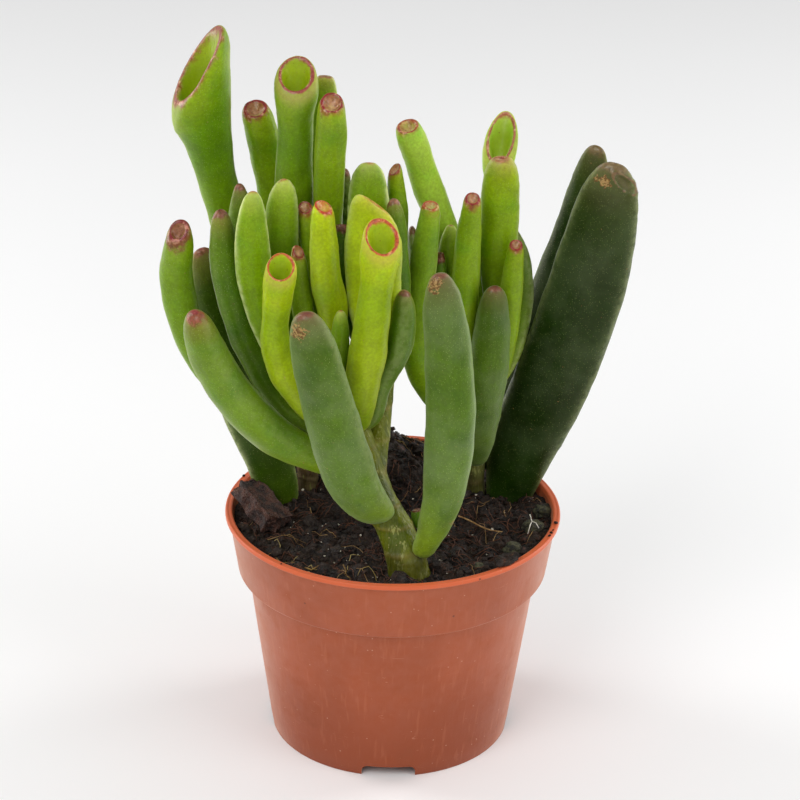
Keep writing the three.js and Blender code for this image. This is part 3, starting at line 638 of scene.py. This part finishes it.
def stemMaterial(name, finish):
    material, tree, shader = newMaterial(name + "_skin", Subsurface_Weight=0.08,
                                         Subsurface_Scale=2 * mm, Specular_IOR_Level=0.3)
    shader.inputs["Subsurface Radius"].default_value = (0.6, 1.0, 0.3)
    where = tree.place()
    lengthwise = tree.place((1, 1, 0.16))
    skin = useGroup(tree, mottle, First=paint(*finish["skin"]), Second=paint(*finish["shade"]),
                    Vector=lengthwise, Size=320.0, Grain=0.12)
    scars = tree.attribute("scar")
    colour = tree.mix(tree.math("MULTIPLY", scars, 0.75), skin.outputs["Color"], paint(*finish["scar"]))
    fibres = tree.noise(lengthwise, 1500, 3)
    streak = tree.mix(0.5, colour, paint(40, 34, 16))
    colour = tree.mix(tree.step(fibres, 0.52, 0.7, 0, finish["grain"]), colour, streak)
    pores = useGroup(tree, specks, Vector=where, Scale=1100.0, Radius=0.26, Share=0.22).outputs[0]
    colour = tree.mix(tree.math("MULTIPLY", pores, 0.5), colour, paint(196, 180, 120))
    scratches = tree.noise(tree.place((1, 1, 0.3)), 800, 2, 0.7)
    colour = tree.mix(tree.step(scratches, 0.6, 0.66, 0, 0.5), colour, paint(188, 190, 110))
    # darker and browner where the stem leaves the soil
    height = tree.node("ShaderNodeSeparateXYZ")
    tree.wire(where, height.inputs[0])
    rooty = tree.math("ADD", height.outputs[2], tree.math("MULTIPLY", tree.noise(where, 260, 3), 5 * mm))
    rooty = tree.step(rooty, soilEdge + 9 * mm, soilEdge + 2 * mm, 0, 0.7)
    colour = tree.mix(rooty, colour, paint(58, 54, 12))
    tree.wire(colour, shader.inputs["Base Color"])
    rough = tree.step(fibres, 0.3, 0.7, finish["rough"] - 0.08, finish["rough"] + 0.1)
    tree.wire(rough, shader.inputs["Roughness"])
    relief = tree.math("ADD", fibres, tree.math("MULTIPLY", scars, 0.5))
    relief = tree.math("ADD", relief, tree.math("MULTIPLY", tree.noise(where, 420, 3), 1.2))
    addBump(tree, shader, relief, 0.4 + 0.5 * finish["grain"], 0.5 * mm)
    return material


def buildStem(name, finish, seed):
    bm = nodeCopy(name)
    piece = newPiece("bark_" + name, bm, stemMaterial(name, finish), name)
    remesh = piece.modifiers.new("Remesh", "REMESH")
    remesh.mode = "VOXEL"
    remesh.voxel_size = stemShape["voxel"]
    relax = piece.modifiers.new("Smooth", "SMOOTH")
    relax.factor = 0.5
    relax.iterations = stemShape["smoothing"]
    bakeModifiers(piece)
    piece.data.materials.clear()
    piece.data.materials.append(bpy.data.materials[name + "_skin"])
    scar = piece.data.attributes.new("scar", "FLOAT", "POINT")
    shape = stemShape
    marks = []

    def relief(place, normal, index):
        # leaf scars ring the stem at about even steps, stronger here and fainter there
        wander = bumpyNoise(place, shape["wanderSize"], seed) * shape["wander"]
        phase = ((place.z + wander) / shape["ringStep"]) % 1
        patch = 0.4 + 0.6 * abs(bumpyNoise(place, shape["patchSize"], seed + 2))
        ring = smoothStep(0.16, 0.0, abs(phase - 0.5)) * patch
        marks.append(ring)
        lump = bumpyNoise(place, shape["lumpSize"], seed + 5) * shape["lump"]
        pimple = bumpyNoise(place, shape["pimpleSize"], seed) * shape["pimple"]
        return shape["swell"] + lump + pimple + ring * shape["ringDepth"]

    moveAlongNormals(piece.data, relief)
    scar.data.foreach_set("value", marks)
    piece.data.polygons.foreach_set("use_smooth", [True] * len(piece.data.polygons))


for number, (stemName, finish) in enumerate(stemFinish.items()):
    buildStem(stemName, finish, 40.0 + 7 * number)
print("stems", len(stemFinish))


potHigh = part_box("nursery_pot")[1]
potShape = {
    "steps": 160, "rim": potHigh.x, "top": potHigh.z, "overhang": 1 * mm, "lip": 1.4 * mm, "wall": 1.1 * mm,
    "collar": 14.5 * mm, "taper": 2.2 * mm, "ledge": 2.6 * mm, "ledgeRise": 1.2 * mm, "foot": 30.6 * mm,
    "floor": 3.4 * mm, "notchWidth": 13.5 * mm, "notchHeight": 2.9 * mm, "notches": 4, "hole": 3 * mm,
    "holeReach": 0.62, "softening": 0.32 * mm,
}


def potProfile(p):
    shoulder = p["top"] - p["lip"]
    collarFoot = shoulder - p["collar"]
    collarTop = p["rim"] - p["overhang"]
    collarBottom = collarTop - p["taper"]
    wallTop = collarBottom - p["ledge"]
    wallEnd = collarFoot - p["ledgeRise"]
    wall = p["wall"]
    groove = 0.18 * mm

    def inner(z):
        return p["foot"] + (wallTop - p["foot"]) * z / wallEnd - wall

    # from the raised floor's underside out, up the wall, over the grooved lip and back in
    return [
        (0, p["floor"]), (inner(p["floor"]) - 0.4 * mm, p["floor"]), (inner(0), 0), (p["foot"], 0),
        (p["foot"] + (wallTop - p["foot"]) * 0.12, wallEnd * 0.12), (wallTop, wallEnd),
        (collarBottom - 0.3 * mm, collarFoot - 0.15 * mm), (collarBottom, collarFoot + 0.4 * mm),
        (collarTop, shoulder), (p["rim"] - 0.1 * mm, shoulder + 0.1 * mm), (p["rim"], shoulder + 0.55 * mm),
        (p["rim"] - 0.12 * mm, p["top"] - 0.25 * mm), (p["rim"] - 0.5 * mm, p["top"]),
        (p["rim"] - 0.95 * mm, p["top"] - groove), (p["rim"] - 1.3 * mm, p["top"] - 0.05 * mm),
        (collarTop - wall + 0.25 * mm, p["top"] - 0.2 * mm), (collarTop - wall, shoulder - 0.4 * mm),
        (collarBottom - wall, collarFoot + wall), (wallTop - wall, wallEnd),
        (inner(p["floor"] + wall), p["floor"] + wall), (0, p["floor"] + wall),
    ]


def notchCutter(p):
    # the four foot notches and the drain holes, as one cutting mesh
    bm = bmesh.new()
    for i in range(p["notches"]):
        turn = Matrix.Rotation(i * math.tau / p["notches"] - math.pi / 2, 4, "Z")
        size = Matrix.Diagonal((12 * mm, p["notchWidth"], 2 * p["notchHeight"], 1))
        place = turn @ Matrix.Translation((p["foot"], 0, 0)) @ size
        made = bmesh.ops.create_cube(bm, size=1, matrix=place)
        top = [v for v in made["verts"] if v.co.z > 0]
        outward = turn @ Vector((1, 0, 0))
        ends = [e for v in top for e in v.link_edges if e.other_vert(v) in top
                and abs((e.verts[0].co - e.verts[1].co).normalized().dot(outward)) > 0.9]
        bmesh.ops.bevel(bm, geom=list(set(ends)), offset=p["notchHeight"] * 0.55, affect="EDGES",
                        segments=5, profile=0.5, material=-1)
        hole = turn @ Matrix.Translation((p["foot"] * p["holeReach"], 0, p["floor"] + p["wall"] / 2))
        bmesh.ops.create_cone(bm, cap_ends=True, segments=28, radius1=p["hole"], radius2=p["hole"],
                              depth=4 * p["wall"], matrix=hole)
    middle = Matrix.Translation((0, 0, p["floor"] + p["wall"] / 2))
    bmesh.ops.create_cone(bm, cap_ends=True, segments=28, radius1=p["hole"], radius2=p["hole"],
                          depth=4 * p["wall"], matrix=middle)
    mesh = bpy.data.meshes.new("cutter")
    bm.to_mesh(mesh)
    bm.free()
    cutter = bpy.data.objects.new("cutter", mesh)
    scene.collection.objects.link(cutter)
    return cutter


def potMaterial():
    material, tree, shader = newMaterial("moulded_plastic", IOR=1.46, Subsurface_Weight=0.05,
                                         Subsurface_Scale=3 * mm, Specular_IOR_Level=0.36)
    shader.inputs["Subsurface Radius"].default_value = (1.0, 0.4, 0.2)
    where = tree.place()
    upright = tree.place((1, 1, 0.04))
    body = useGroup(tree, mottle, First=paint(168, 84, 50), Second=paint(158, 78, 45), Vector=where,
                    Size=45.0, Grain=0.03)
    height = tree.node("ShaderNodeSeparateXYZ")
    tree.wire(where, height.inputs[0])
    level = height.outputs[2]
    # the lip is painted brighter orange: painted light through the thin lip
    lip = tree.step(level, potShape["top"] - 1.6 * mm, potShape["top"] - 0.9 * mm)
    colour = tree.mix(lip, body.outputs["Color"], paint(208, 98, 57))
    # darker towards the bottom: painted shade on the lower wall
    foot = tree.step(level, 34 * mm, 4 * mm, 0, 0.7)
    colour = tree.mix(foot, colour, paint(136, 62, 30))
    drawn = tree.noise(upright, 900, 2)
    colour = tree.mix(tree.step(drawn, 0.56, 0.72, 0, 0.16), colour, paint(196, 118, 84))
    # soil dust, brown specks and pale scuffs
    dusty = tree.step(tree.noise(where, 60, 5, 0.7), 0.56, 0.76)
    low = tree.step(level, 20 * mm, 0, 0.12, 0.5)
    colour = tree.mix(tree.math("MULTIPLY", dusty, low), colour, paint(128, 78, 54))
    crumbs = useGroup(tree, specks, Vector=where, Scale=330.0, Radius=0.14, Share=0.1).outputs[0]
    colour = tree.mix(tree.math("MULTIPLY", crumbs, 0.75), colour, paint(92, 52, 36))
    small = useGroup(tree, specks, Vector=where, Scale=900.0, Radius=0.2, Share=0.06).outputs[0]
    colour = tree.mix(tree.math("MULTIPLY", small, 0.6), colour, paint(206, 160, 132))
    across = tree.place((0.35, 0.35, 2.2), 0.3)
    scratch = tree.step(tree.noise(across, 420, 4, 0.7, 1.6), 0.66, 0.7, 0, 0.3)
    colour = tree.mix(scratch, colour, paint(214, 150, 120))
    # painted edge light: the colour turns paler where the wall turns away from view
    facing = tree.node("ShaderNodeLayerWeight")
    facing.inputs["Blend"].default_value = 0.3
    paler = tree.step(facing.outputs["Facing"], 0.3, 0.95, 0.0, 0.5)
    tree.wire(tree.mix(paler, colour, paint(222, 158, 128)), shader.inputs["Base Color"])
    worn = tree.noise(where, 120, 4, 0.6)
    rough = tree.math("ADD", tree.step(worn, 0.3, 0.75, 0.36, 0.5), tree.math("MULTIPLY", dusty, 0.14))
    tree.wire(rough, shader.inputs["Roughness"])
    relief = tree.math("ADD", tree.math("MULTIPLY", tree.noise(where, 2600, 2), 0.5),
                       tree.math("MULTIPLY", drawn, 0.6))
    relief = tree.math("ADD", relief, tree.math("MULTIPLY", worn, 0.6))
    relief = tree.math("ADD", relief, tree.math("MULTIPLY", crumbs, 1.5))
    addBump(tree, shader, relief, 0.12, fineRelief)
    return material


def buildPot(p):
    bm = bmesh.new()
    points = [bm.verts.new((radius, 0, z)) for radius, z in potProfile(p)]
    edges = [bm.edges.new(pair) for pair in zip(points, points[1:])]
    bmesh.ops.spin(bm, geom=points + edges, cent=(0, 0, 0), axis=up, angle=math.tau, steps=p["steps"],
                   use_merge=True, use_duplicate=False)
    bmesh.ops.remove_doubles(bm, verts=bm.verts, dist=1e-6)
    bmesh.ops.recalc_face_normals(bm, faces=bm.faces)
    sharp = [e for e in bm.edges if len(e.link_faces) == 2 and e.calc_face_angle() > math.radians(22)]
    bmesh.ops.bevel(bm, geom=sharp, offset=p["softening"], affect="EDGES", segments=2, profile=0.5,
                    material=-1, clamp_overlap=True)
    piece = newPiece("moulded_pot", bm, potMaterial(), "nursery_pot")
    cutter = notchCutter(p)
    cut = piece.modifiers.new("Notches", "BOOLEAN")
    cut.object = cutter
    cut.operation = "DIFFERENCE"
    cut.solver = "EXACT"
    bakeModifiers(piece)
    bpy.data.objects.remove(cutter)
    piece.data.set_sharp_from_angle(angle=math.radians(34))


buildPot(potShape)
print("pot done")


soilShape = {
    "level": potHigh.z - 2 * mm, "radius": potHigh.x - 2.2 * mm, "mound": 12.5 * mm, "spread": 10 * mm,
    "centre": (-3 * mm, 24 * mm), "rings": 105, "steps": 420, "clod": 1.9 * mm, "clodSize": 5.5 * mm,
    "crumb": 0.665 * mm, "crumbSize": 1.7 * mm, "grain": 0.42 * mm, "grainSize": 0.75 * mm,
    "jitter": 0.25 * mm, "depth": 12 * mm, "seed": 5.3,
}


def soilLevel(x, y):
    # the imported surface: nearly level, heaped at the back, low along the wall
    s = soilShape
    away = math.hypot(x - s["centre"][0], y - s["centre"][1]) / s["spread"]
    heap = s["mound"] * math.exp(-away ** 2 / 2)
    reach = math.hypot(x, y) / s["radius"]
    lumps = 0.5 * math.sin(420 * x + 1) * math.cos(370 * y) + 0.35 * math.sin(800 * x + 600 * y)
    return s["level"] + heap * (1 - smoothStep(0.8, 1, reach)) + lumps * mm


def soilRelief(x, y):
    s = soilShape
    place = Vector((x, y, s["seed"] * mm))
    reach = math.hypot(x, y) / s["radius"]
    clods = noise.turbulence(place / s["clodSize"], 3, False, noise_basis="PERLIN_ORIGINAL") - 0.75
    crumbs = noise.noise(place / s["crumbSize"])
    grains = noise.noise(place / s["grainSize"])
    rough = clods * s["clod"] + crumbs * s["crumb"] + grains * s["grain"]
    return soilLevel(x, y) + rough * (1 - 0.45 * smoothStep(0.9, 1, reach))


def soilMaterial():
    material, tree, shader = newMaterial("peat", Specular_IOR_Level=0.35)
    where = tree.place()
    ground = useGroup(tree, mottle, First=paint(46, 33, 25), Second=paint(24, 17, 13), Vector=where,
                      Size=240.0, Grain=0.06)
    flecks = tree.noise(where, 1300, 3, 0.7)
    colour = tree.mix(tree.step(flecks, 0.56, 0.74, 0, 0.75), ground.outputs["Color"], paint(92, 62, 42))
    reddish = tree.noise(where, 420, 3, 0.6)
    colour = tree.mix(tree.step(reddish, 0.6, 0.74, 0, 0.55), colour, paint(98, 54, 34))
    colour = tree.mix(tree.step(flecks, 0.45, 0.3, 0, 0.7), colour, paint(10, 7, 6))
    tree.wire(colour, shader.inputs["Base Color"])
    damp = tree.noise(where, 300, 3)
    tree.wire(tree.step(damp, 0.35, 0.65, 0.55, 0.95), shader.inputs["Roughness"])
    addBump(tree, shader, tree.math("ADD", flecks, tree.noise(where, 3000, 2)), 0.7, fineRelief)
    return material


peat = soilMaterial()


def buildSoil():
    s = soilShape
    bm = bmesh.new()
    below = s["level"] - s["depth"]
    outer = s["radius"] - 1.2 * mm
    profile = [(outer, below), (s["radius"] - 0.1 * mm, s["level"] - 2 * mm)]
    profile += [(s["radius"] * (1 - k / s["rings"]), s["level"]) for k in range(s["rings"])]
    profile = [(0, below)] + profile + [(0, s["level"])]
    points = [bm.verts.new((radius, 0, z)) for radius, z in profile]
    edges = [bm.edges.new(pair) for pair in zip(points, points[1:])]
    bmesh.ops.spin(bm, geom=points + edges, cent=(0, 0, 0), axis=up, angle=math.tau, steps=s["steps"],
                   use_merge=True, use_duplicate=False)
    bmesh.ops.remove_doubles(bm, verts=bm.verts, dist=1e-6)
    bmesh.ops.recalc_face_normals(bm, faces=bm.faces)
    for vertex in bm.verts:
        if vertex.co.z > s["level"] - mm:
            x, y = vertex.co.x, vertex.co.y
            vertex.co.z = soilRelief(x, y)
            pull = Vector((x, y, 0)) * 900
            vertex.co.x += noise.noise(pull + Vector((9, 0, 0))) * s["jitter"]
            vertex.co.y += noise.noise(pull + Vector((0, 9, 0))) * s["jitter"]
    newPiece("peat_surface", bm, peat, "potting_soil")


def scatterSpots(count, seed, edgeShare):
    # spots on the soil, as (place, dice) pairs
    dice = random.Random(seed)
    spots = []
    for _ in range(count):
        reach = soilShape["radius"] * math.sqrt(dice.random()) * edgeShare
        turn = dice.random() * math.tau
        x, y = reach * math.cos(turn), reach * math.sin(turn)
        spots.append((Vector((x, y, soilRelief(x, y))), dice))
    return spots


def addLump(bm, place, size, dice, fine, ragged):
    # one angular crumb
    angle = dice.random() * math.tau
    turn = Matrix.Rotation(angle, 4, Vector((dice.random() - 0.5, dice.random() - 0.5, 1)))
    squash = Matrix.Diagonal((1, 0.6 + 0.5 * dice.random(), 0.45 + 0.4 * dice.random(), 1))
    made = bmesh.ops.create_icosphere(bm, subdivisions=fine, radius=size,
                                      matrix=Matrix.Translation(place) @ turn @ squash)
    for vertex in made["verts"]:
        vertex.co += (vertex.co - place) * ragged * (dice.random() * 2 - 1)


# a lump's radius is from least to least + more, and its middle sits lift + rise x radius up
lumpKinds = {
    "peat_crumbs": {"count": 2600, "seed": 11, "reach": 0.985, "least": 0.28 * mm, "more": 0.75 * mm,
                    "power": 2.2, "lift": 0, "rise": 0.25, "fine": 1, "ragged": 0.35},
    "peat_clods": {"count": 230, "seed": 23, "reach": 0.97, "least": 0.9 * mm, "more": 1.3 * mm,
                   "power": 1.6, "lift": 0, "rise": 0, "fine": 2, "ragged": 0.28},
    "pale_grains": {"count": 120, "seed": 53, "reach": 0.96, "least": 0.16 * mm, "more": 0.3 * mm,
                    "power": 2, "lift": 0.5 * mm, "rise": 0, "fine": 1, "ragged": 0.35},
}


def buildLumps(name, material):
    # all the lumps of one kind, made a few at a time and gathered in one mesh
    kind = lumpKinds[name]
    spots = scatterSpots(kind["count"], kind["seed"], kind["reach"])
    whole = bmesh.new()
    batch = 50
    for first in range(0, len(spots), batch):
        part = bmesh.new()
        for place, dice in spots[first:first + batch]:
            size = kind["least"] + kind["more"] * dice.random() ** kind["power"]
            rise = kind["lift"] + kind["rise"] * size
            addLump(part, place + up * rise, size, dice, kind["fine"], kind["ragged"])
        mesh = bpy.data.meshes.new("part")
        part.to_mesh(mesh)
        part.free()
        whole.from_mesh(mesh)
        bpy.data.meshes.remove(mesh)
    newPiece(name, whole, material, smooth=False)


def plainMaterial(name, first, second, size, rough, grain=0.1, bump=0.4):
    material, tree, shader = newMaterial(name)
    where = tree.place()
    made = useGroup(tree, mottle, First=paint(*first), Second=paint(*second), Vector=where, Size=size,
                    Grain=grain)
    tree.wire(made.outputs["Color"], shader.inputs["Base Color"])
    fine = tree.noise(where, size * 5, 3)
    tree.wire(tree.step(fine, 0.3, 0.7, rough - 0.1, min(1, rough + 0.1)), shader.inputs["Roughness"])
    addBump(tree, shader, fine, bump, fineRelief)
    return material


def buildThreads(name, strands, thickness, material):
    # fine fibres: each strand is a list of places
    curve = bpy.data.curves.new(name, "CURVE")
    curve.dimensions = "3D"
    curve.bevel_depth = thickness
    curve.bevel_resolution = 0
    curve.use_fill_caps = True
    for strand in strands:
        spline = curve.splines.new("POLY")
        spline.points.add(len(strand) - 1)
        for index, place in enumerate(strand):
            spline.points[index].co = (*place, 1)
            spline.points[index].radius = 1.0 if index < len(strand) * 0.6 else 0.6
    holder = bpy.data.objects.new(name + "_line", curve)
    scene.collection.objects.link(holder)
    graph = bpy.context.evaluated_depsgraph_get()
    mesh = bpy.data.meshes.new_from_object(holder.evaluated_get(graph))
    bpy.data.objects.remove(holder)
    piece = bpy.data.objects.new(name, mesh)
    scene.collection.objects.link(piece)
    finishPiece(piece, material)
    return piece


def wanderingStrand(start, dice, length, lift, points=7):
    heading = dice.random() * math.tau
    strand = [start.copy()]
    for k in range(1, points):
        heading += (dice.random() - 0.5) * 1.3
        step = Vector((math.cos(heading), math.sin(heading), 0)) * length / points
        place = strand[-1] + step
        reach = math.hypot(place.x, place.y)
        if reach > soilShape["radius"] * 0.98:
            break
        arch = lift * math.sin(math.pi * k / (points - 1))
        place.z = soilRelief(place.x, place.y) + 0.15 * mm + arch * (0.4 + dice.random())
        strand.append(place)
    return strand


buildSoil()
buildLumps("peat_crumbs", peat)
buildLumps("peat_clods", peat)

fibreKinds = {
    "peat_fibres_red": {"count": 420, "length": 7 * mm, "lift": 0.7 * mm, "thick": 0.09 * mm, "seed": 31,
                        "first": (104, 62, 40), "second": (70, 40, 26), "slot": "peat_soil"},
    "peat_fibres_tan": {"count": 52, "length": 9 * mm, "lift": 0.9 * mm, "thick": 0.08 * mm, "seed": 37,
                        "first": (168, 134, 84), "second": (128, 96, 56), "slot": "straw"},
    "fine_roots": {"count": 14, "length": 6 * mm, "lift": 1 * mm, "thick": 0.1 * mm, "seed": 41,
                   "first": (176, 156, 98), "second": (138, 116, 62), "slot": "straw"},
}
for threadName, kind in fibreKinds.items():
    strands = [wanderingStrand(place, dice, kind["length"] * (0.5 + dice.random()), kind["lift"])
               for place, dice in scatterSpots(kind["count"], kind["seed"], 0.96)]
    strands = [strand for strand in strands if len(strand) > 3]
    fibre = plainMaterial(threadName, kind["first"], kind["second"], 260.0, 0.8)
    buildThreads(threadName, strands, kind["thick"], fibre)
grainMaterial = plainMaterial("pale_grains", (214, 206, 190), (170, 160, 140), 600.0, 0.7)
buildLumps("pale_grains", grainMaterial)

# mossy lumps, loose roots and dirt: places as shares of the pot's radius, and for dirt on the
# lip its heading in degrees
soilBits = {
    "mossLumps": [(0.905, 0.1, 2.7 * mm), (0.83, -0.16, 2.5 * mm), (0.71, -0.39, 2.3 * mm),
                  (0.5, -0.62, 1.7 * mm)],
    "lipDirt": [(-10.9, 0.62 * mm), (-18.5, 0.42 * mm), (-20.8, 0.36 * mm), (-16.3, 0.28 * mm),
                (-130.0, 0.22 * mm), (158.0, 0.4 * mm)],
    "hair": [[(0.823, -0.187, 3.2 * mm), (0.812, -0.235, 2.8 * mm), (0.796, -0.281, 2.1 * mm)],
             [(0.814, -0.096, 3.1 * mm), (0.823, -0.187, 3.3 * mm), (0.845, -0.215, 3 * mm),
              (0.863, -0.24, 2.2 * mm)]],
    "roots": [[(-0.67, -0.57), (-0.64, -0.6), (-0.6, -0.58), (-0.56, -0.62)],
              [(-0.5, -0.66), (-0.46, -0.69), (-0.42, -0.67), (-0.38, -0.7), (-0.37, -0.66)],
              [(-0.28, -0.6), (-0.26, -0.66), (-0.27, -0.72), (-0.24, -0.76)],
              [(0.2, 0.1), (0.25, 0.02), (0.29, -0.06)]],
    "hairThick": 0.14 * mm, "rootThick": 0.22 * mm, "rootRise": 0.7 * mm, "lipInset": 0.7 * mm,
}


def soilPlace(across, back, rise):
    x, y = across * potShape["rim"], back * potShape["rim"]
    return Vector((x, y, soilRelief(x, y) + rise))


def buildSoilBits(bits):
    bm = bmesh.new()
    for across, back, size in bits["mossLumps"]:
        place = soilPlace(across, back, size * 0.15)
        made = bmesh.ops.create_icosphere(bm, subdivisions=4, radius=size,
                                          matrix=Matrix.Translation(place))
        for vertex in made["verts"]:
            away = vertex.co - place
            knobs = bumpyNoise(vertex.co, 2.2 * mm, 6.0) * 0.4 + bumpyNoise(vertex.co, 0.7 * mm, 2.0) * 0.16
            away.z *= 0.66
            vertex.co = place + away * (1 + knobs)
    moss = plainMaterial("moss_crust", (84, 82, 56), (34, 32, 24), 900.0, 0.85, 0.2, 1.0)
    newPiece("mossy_lumps", bm, moss)
    bm = bmesh.new()
    dice = random.Random(61)
    for heading, size in bits["lipDirt"]:
        turn, reach = math.radians(heading), potShape["rim"] - bits["lipInset"]
        height = potShape["top"] + size * 0.35
        place = Vector((reach * math.cos(turn), reach * math.sin(turn), height))
        addLump(bm, place, size, dice, 2, 0.25)
    newPiece("lip_dirt", bm, peat, smooth=False)
    hairs = [[soilPlace(*point) for point in strand] for strand in bits["hair"]]
    pale = plainMaterial("pale_hairs", (232, 226, 214), (190, 180, 166), 600.0, 0.6)
    buildThreads("pale_hairs", hairs, bits["hairThick"], pale)
    roots = [[soilPlace(*point, bits["rootRise"]) for point in strand] for strand in bits["roots"]]
    yellow = plainMaterial("yellow_roots", (158, 124, 58), (104, 76, 36), 500.0, 0.7)
    buildThreads("yellow_roots", roots, bits["rootThick"], yellow)


buildSoilBits(soilBits)
print("soil done")


def raggedCopy(node, cuts, amount, size, seed):
    # a CAD bit, finely divided and roughened
    bm = nodeCopy(node)
    bmesh.ops.subdivide_edges(bm, edges=bm.edges, cuts=cuts, use_grid_fill=True)
    bmesh.ops.triangulate(bm, faces=[f for f in bm.faces if len(f.verts) > 4])
    bm.normal_update()
    moves = []
    for vertex in bm.verts:
        coarse = bumpyNoise(vertex.co, size, seed)
        fine = bumpyNoise(vertex.co, size * 0.3, seed + 3)
        moves.append(vertex.normal * amount * (coarse + 0.5 * fine))
    for vertex, move in zip(bm.verts, moves):
        vertex.co += move
    return bm


bark = plainMaterial("bark_layers", (84, 54, 42), (42, 27, 22), 420.0, 0.8, 0.2, 1.0)
newPiece("bark_piece", raggedCopy("bark_chip", 9, 1.1 * mm, 2.6 * mm, 3.0), bark, "bark_chip",
         smooth=False)
newPiece("peat_piece", raggedCopy("peat_flake", 6, 0.45 * mm, 1.6 * mm, 8.0), peat,
         "peat_flake", smooth=False)

strawShape = {"points": 9, "sag": 0.5 * mm, "thick": 0.24 * mm, "lift": 0.3 * mm, "bend": 0.5 * mm}


def buildStraw(p):
    # a bit of straw from corner to corner of its box, bent a little both ways
    low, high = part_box("straw_bit")
    middle = (low.z + high.z) / 2
    line = []
    for k in range(p["points"]):
        share = k / (p["points"] - 1)
        place = Vector((low.x, high.y, middle)).lerp(Vector((high.x, low.y, middle)), share)
        place.z += p["sag"] * (1 - math.sin(math.pi * share)) + p["lift"]
        place.y += p["bend"] * math.sin(2.2 * math.pi * share)
        line.append(place)
    dry = plainMaterial("dry_straw", (196, 156, 102), (150, 108, 62), 500.0, 0.7)
    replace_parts(buildThreads("dry_straw", [line], p["thick"], dry), "straw_bit")


buildStraw(strawShape)
print("loose bits done")


def buildFloor():
    bm = bmesh.new()
    bmesh.ops.create_grid(bm, x_segments=1, y_segments=1, size=6)
    material, tree, shader = newMaterial("pale_floor", Roughness=0.7)
    where = tree.place()
    tone = tree.mix(tree.noise(where, 3, 2), paint(244, 244, 244), paint(250, 250, 250))
    tree.wire(tone, shader.inputs["Base Color"])
    mesh = bpy.data.meshes.new("floor")
    bm.to_mesh(mesh)
    bm.free()
    floor = bpy.data.objects.new("floor", mesh)
    scene.collection.objects.link(floor)
    floor.data.materials.append(material)


softboxes = {
    "key": {"place": (-0.45, -0.75, 0.85), "size": (0.6, 0.6), "power": 4.6},
    "fill": {"place": (0.75, -0.45, 0.55), "size": (0.6, 0.6), "power": 2.4},
    "left_edge": {"place": (-0.75, 0.3, 0.4), "size": (0.3, 0.8), "power": 3.4},
    "right_edge": {"place": (0.75, 0.35, 0.4), "size": (0.3, 0.8), "power": 3.4},
}


def addSoftbox(name, place, size, power):
    light = bpy.data.lights.new(name, "AREA")
    light.shape = "RECTANGLE"
    light.size, light.size_y = size
    light.energy = power
    lamp = bpy.data.objects.new(name, light)
    scene.collection.objects.link(lamp)
    lamp.location = place
    lamp.rotation_mode = "QUATERNION"
    aim = (cadLow + cadHigh) / 2
    lamp.rotation_quaternion = (aim - Vector(place)).to_track_quat("-Z", "Y")


def buildStudio():
    world = bpy.data.worlds.new("studio")
    scene.world = world
    world.use_nodes = True
    backdrop = world.node_tree.nodes["Background"]
    backdrop.inputs["Color"].default_value = (1, 1, 1, 1)
    backdrop.inputs["Strength"].default_value = 0.5
    for name, box in softboxes.items():
        addSoftbox(name, **box)
    scene.view_settings.view_transform = "Standard"
    scene.view_settings.look = "None"


cameraView = {
    "distance": 0.7, "pitch": 24.78, "roll": 0.99, "sideStep": 1.34 * mm, "aimShare": 0.4929, "lens": 126.4,
}


def buildCamera(view):
    camera = bpy.data.objects.new("camera", bpy.data.cameras.new("camera"))
    scene.collection.objects.link(camera)
    pitch = math.radians(view["pitch"])
    forward = Vector((0, math.cos(pitch), -math.sin(pitch)))
    aim = Vector((view["sideStep"], 0, cadHigh.z * view["aimShare"]))
    camera.data.lens = view["lens"]
    camera.data.sensor_width = 36
    camera.location = aim - forward * view["distance"]
    camera.rotation_mode = "QUATERNION"
    roll = Matrix.Rotation(math.radians(view["roll"]), 3, "Z")
    camera.rotation_quaternion = (forward.to_track_quat("-Z", "Y").to_matrix() @ roll).to_quaternion()
    camera.data.clip_start, camera.data.clip_end = 0.01, 50
    scene.camera = camera


buildFloor()
buildStudio()
buildCamera(cameraView)
print("studio done")
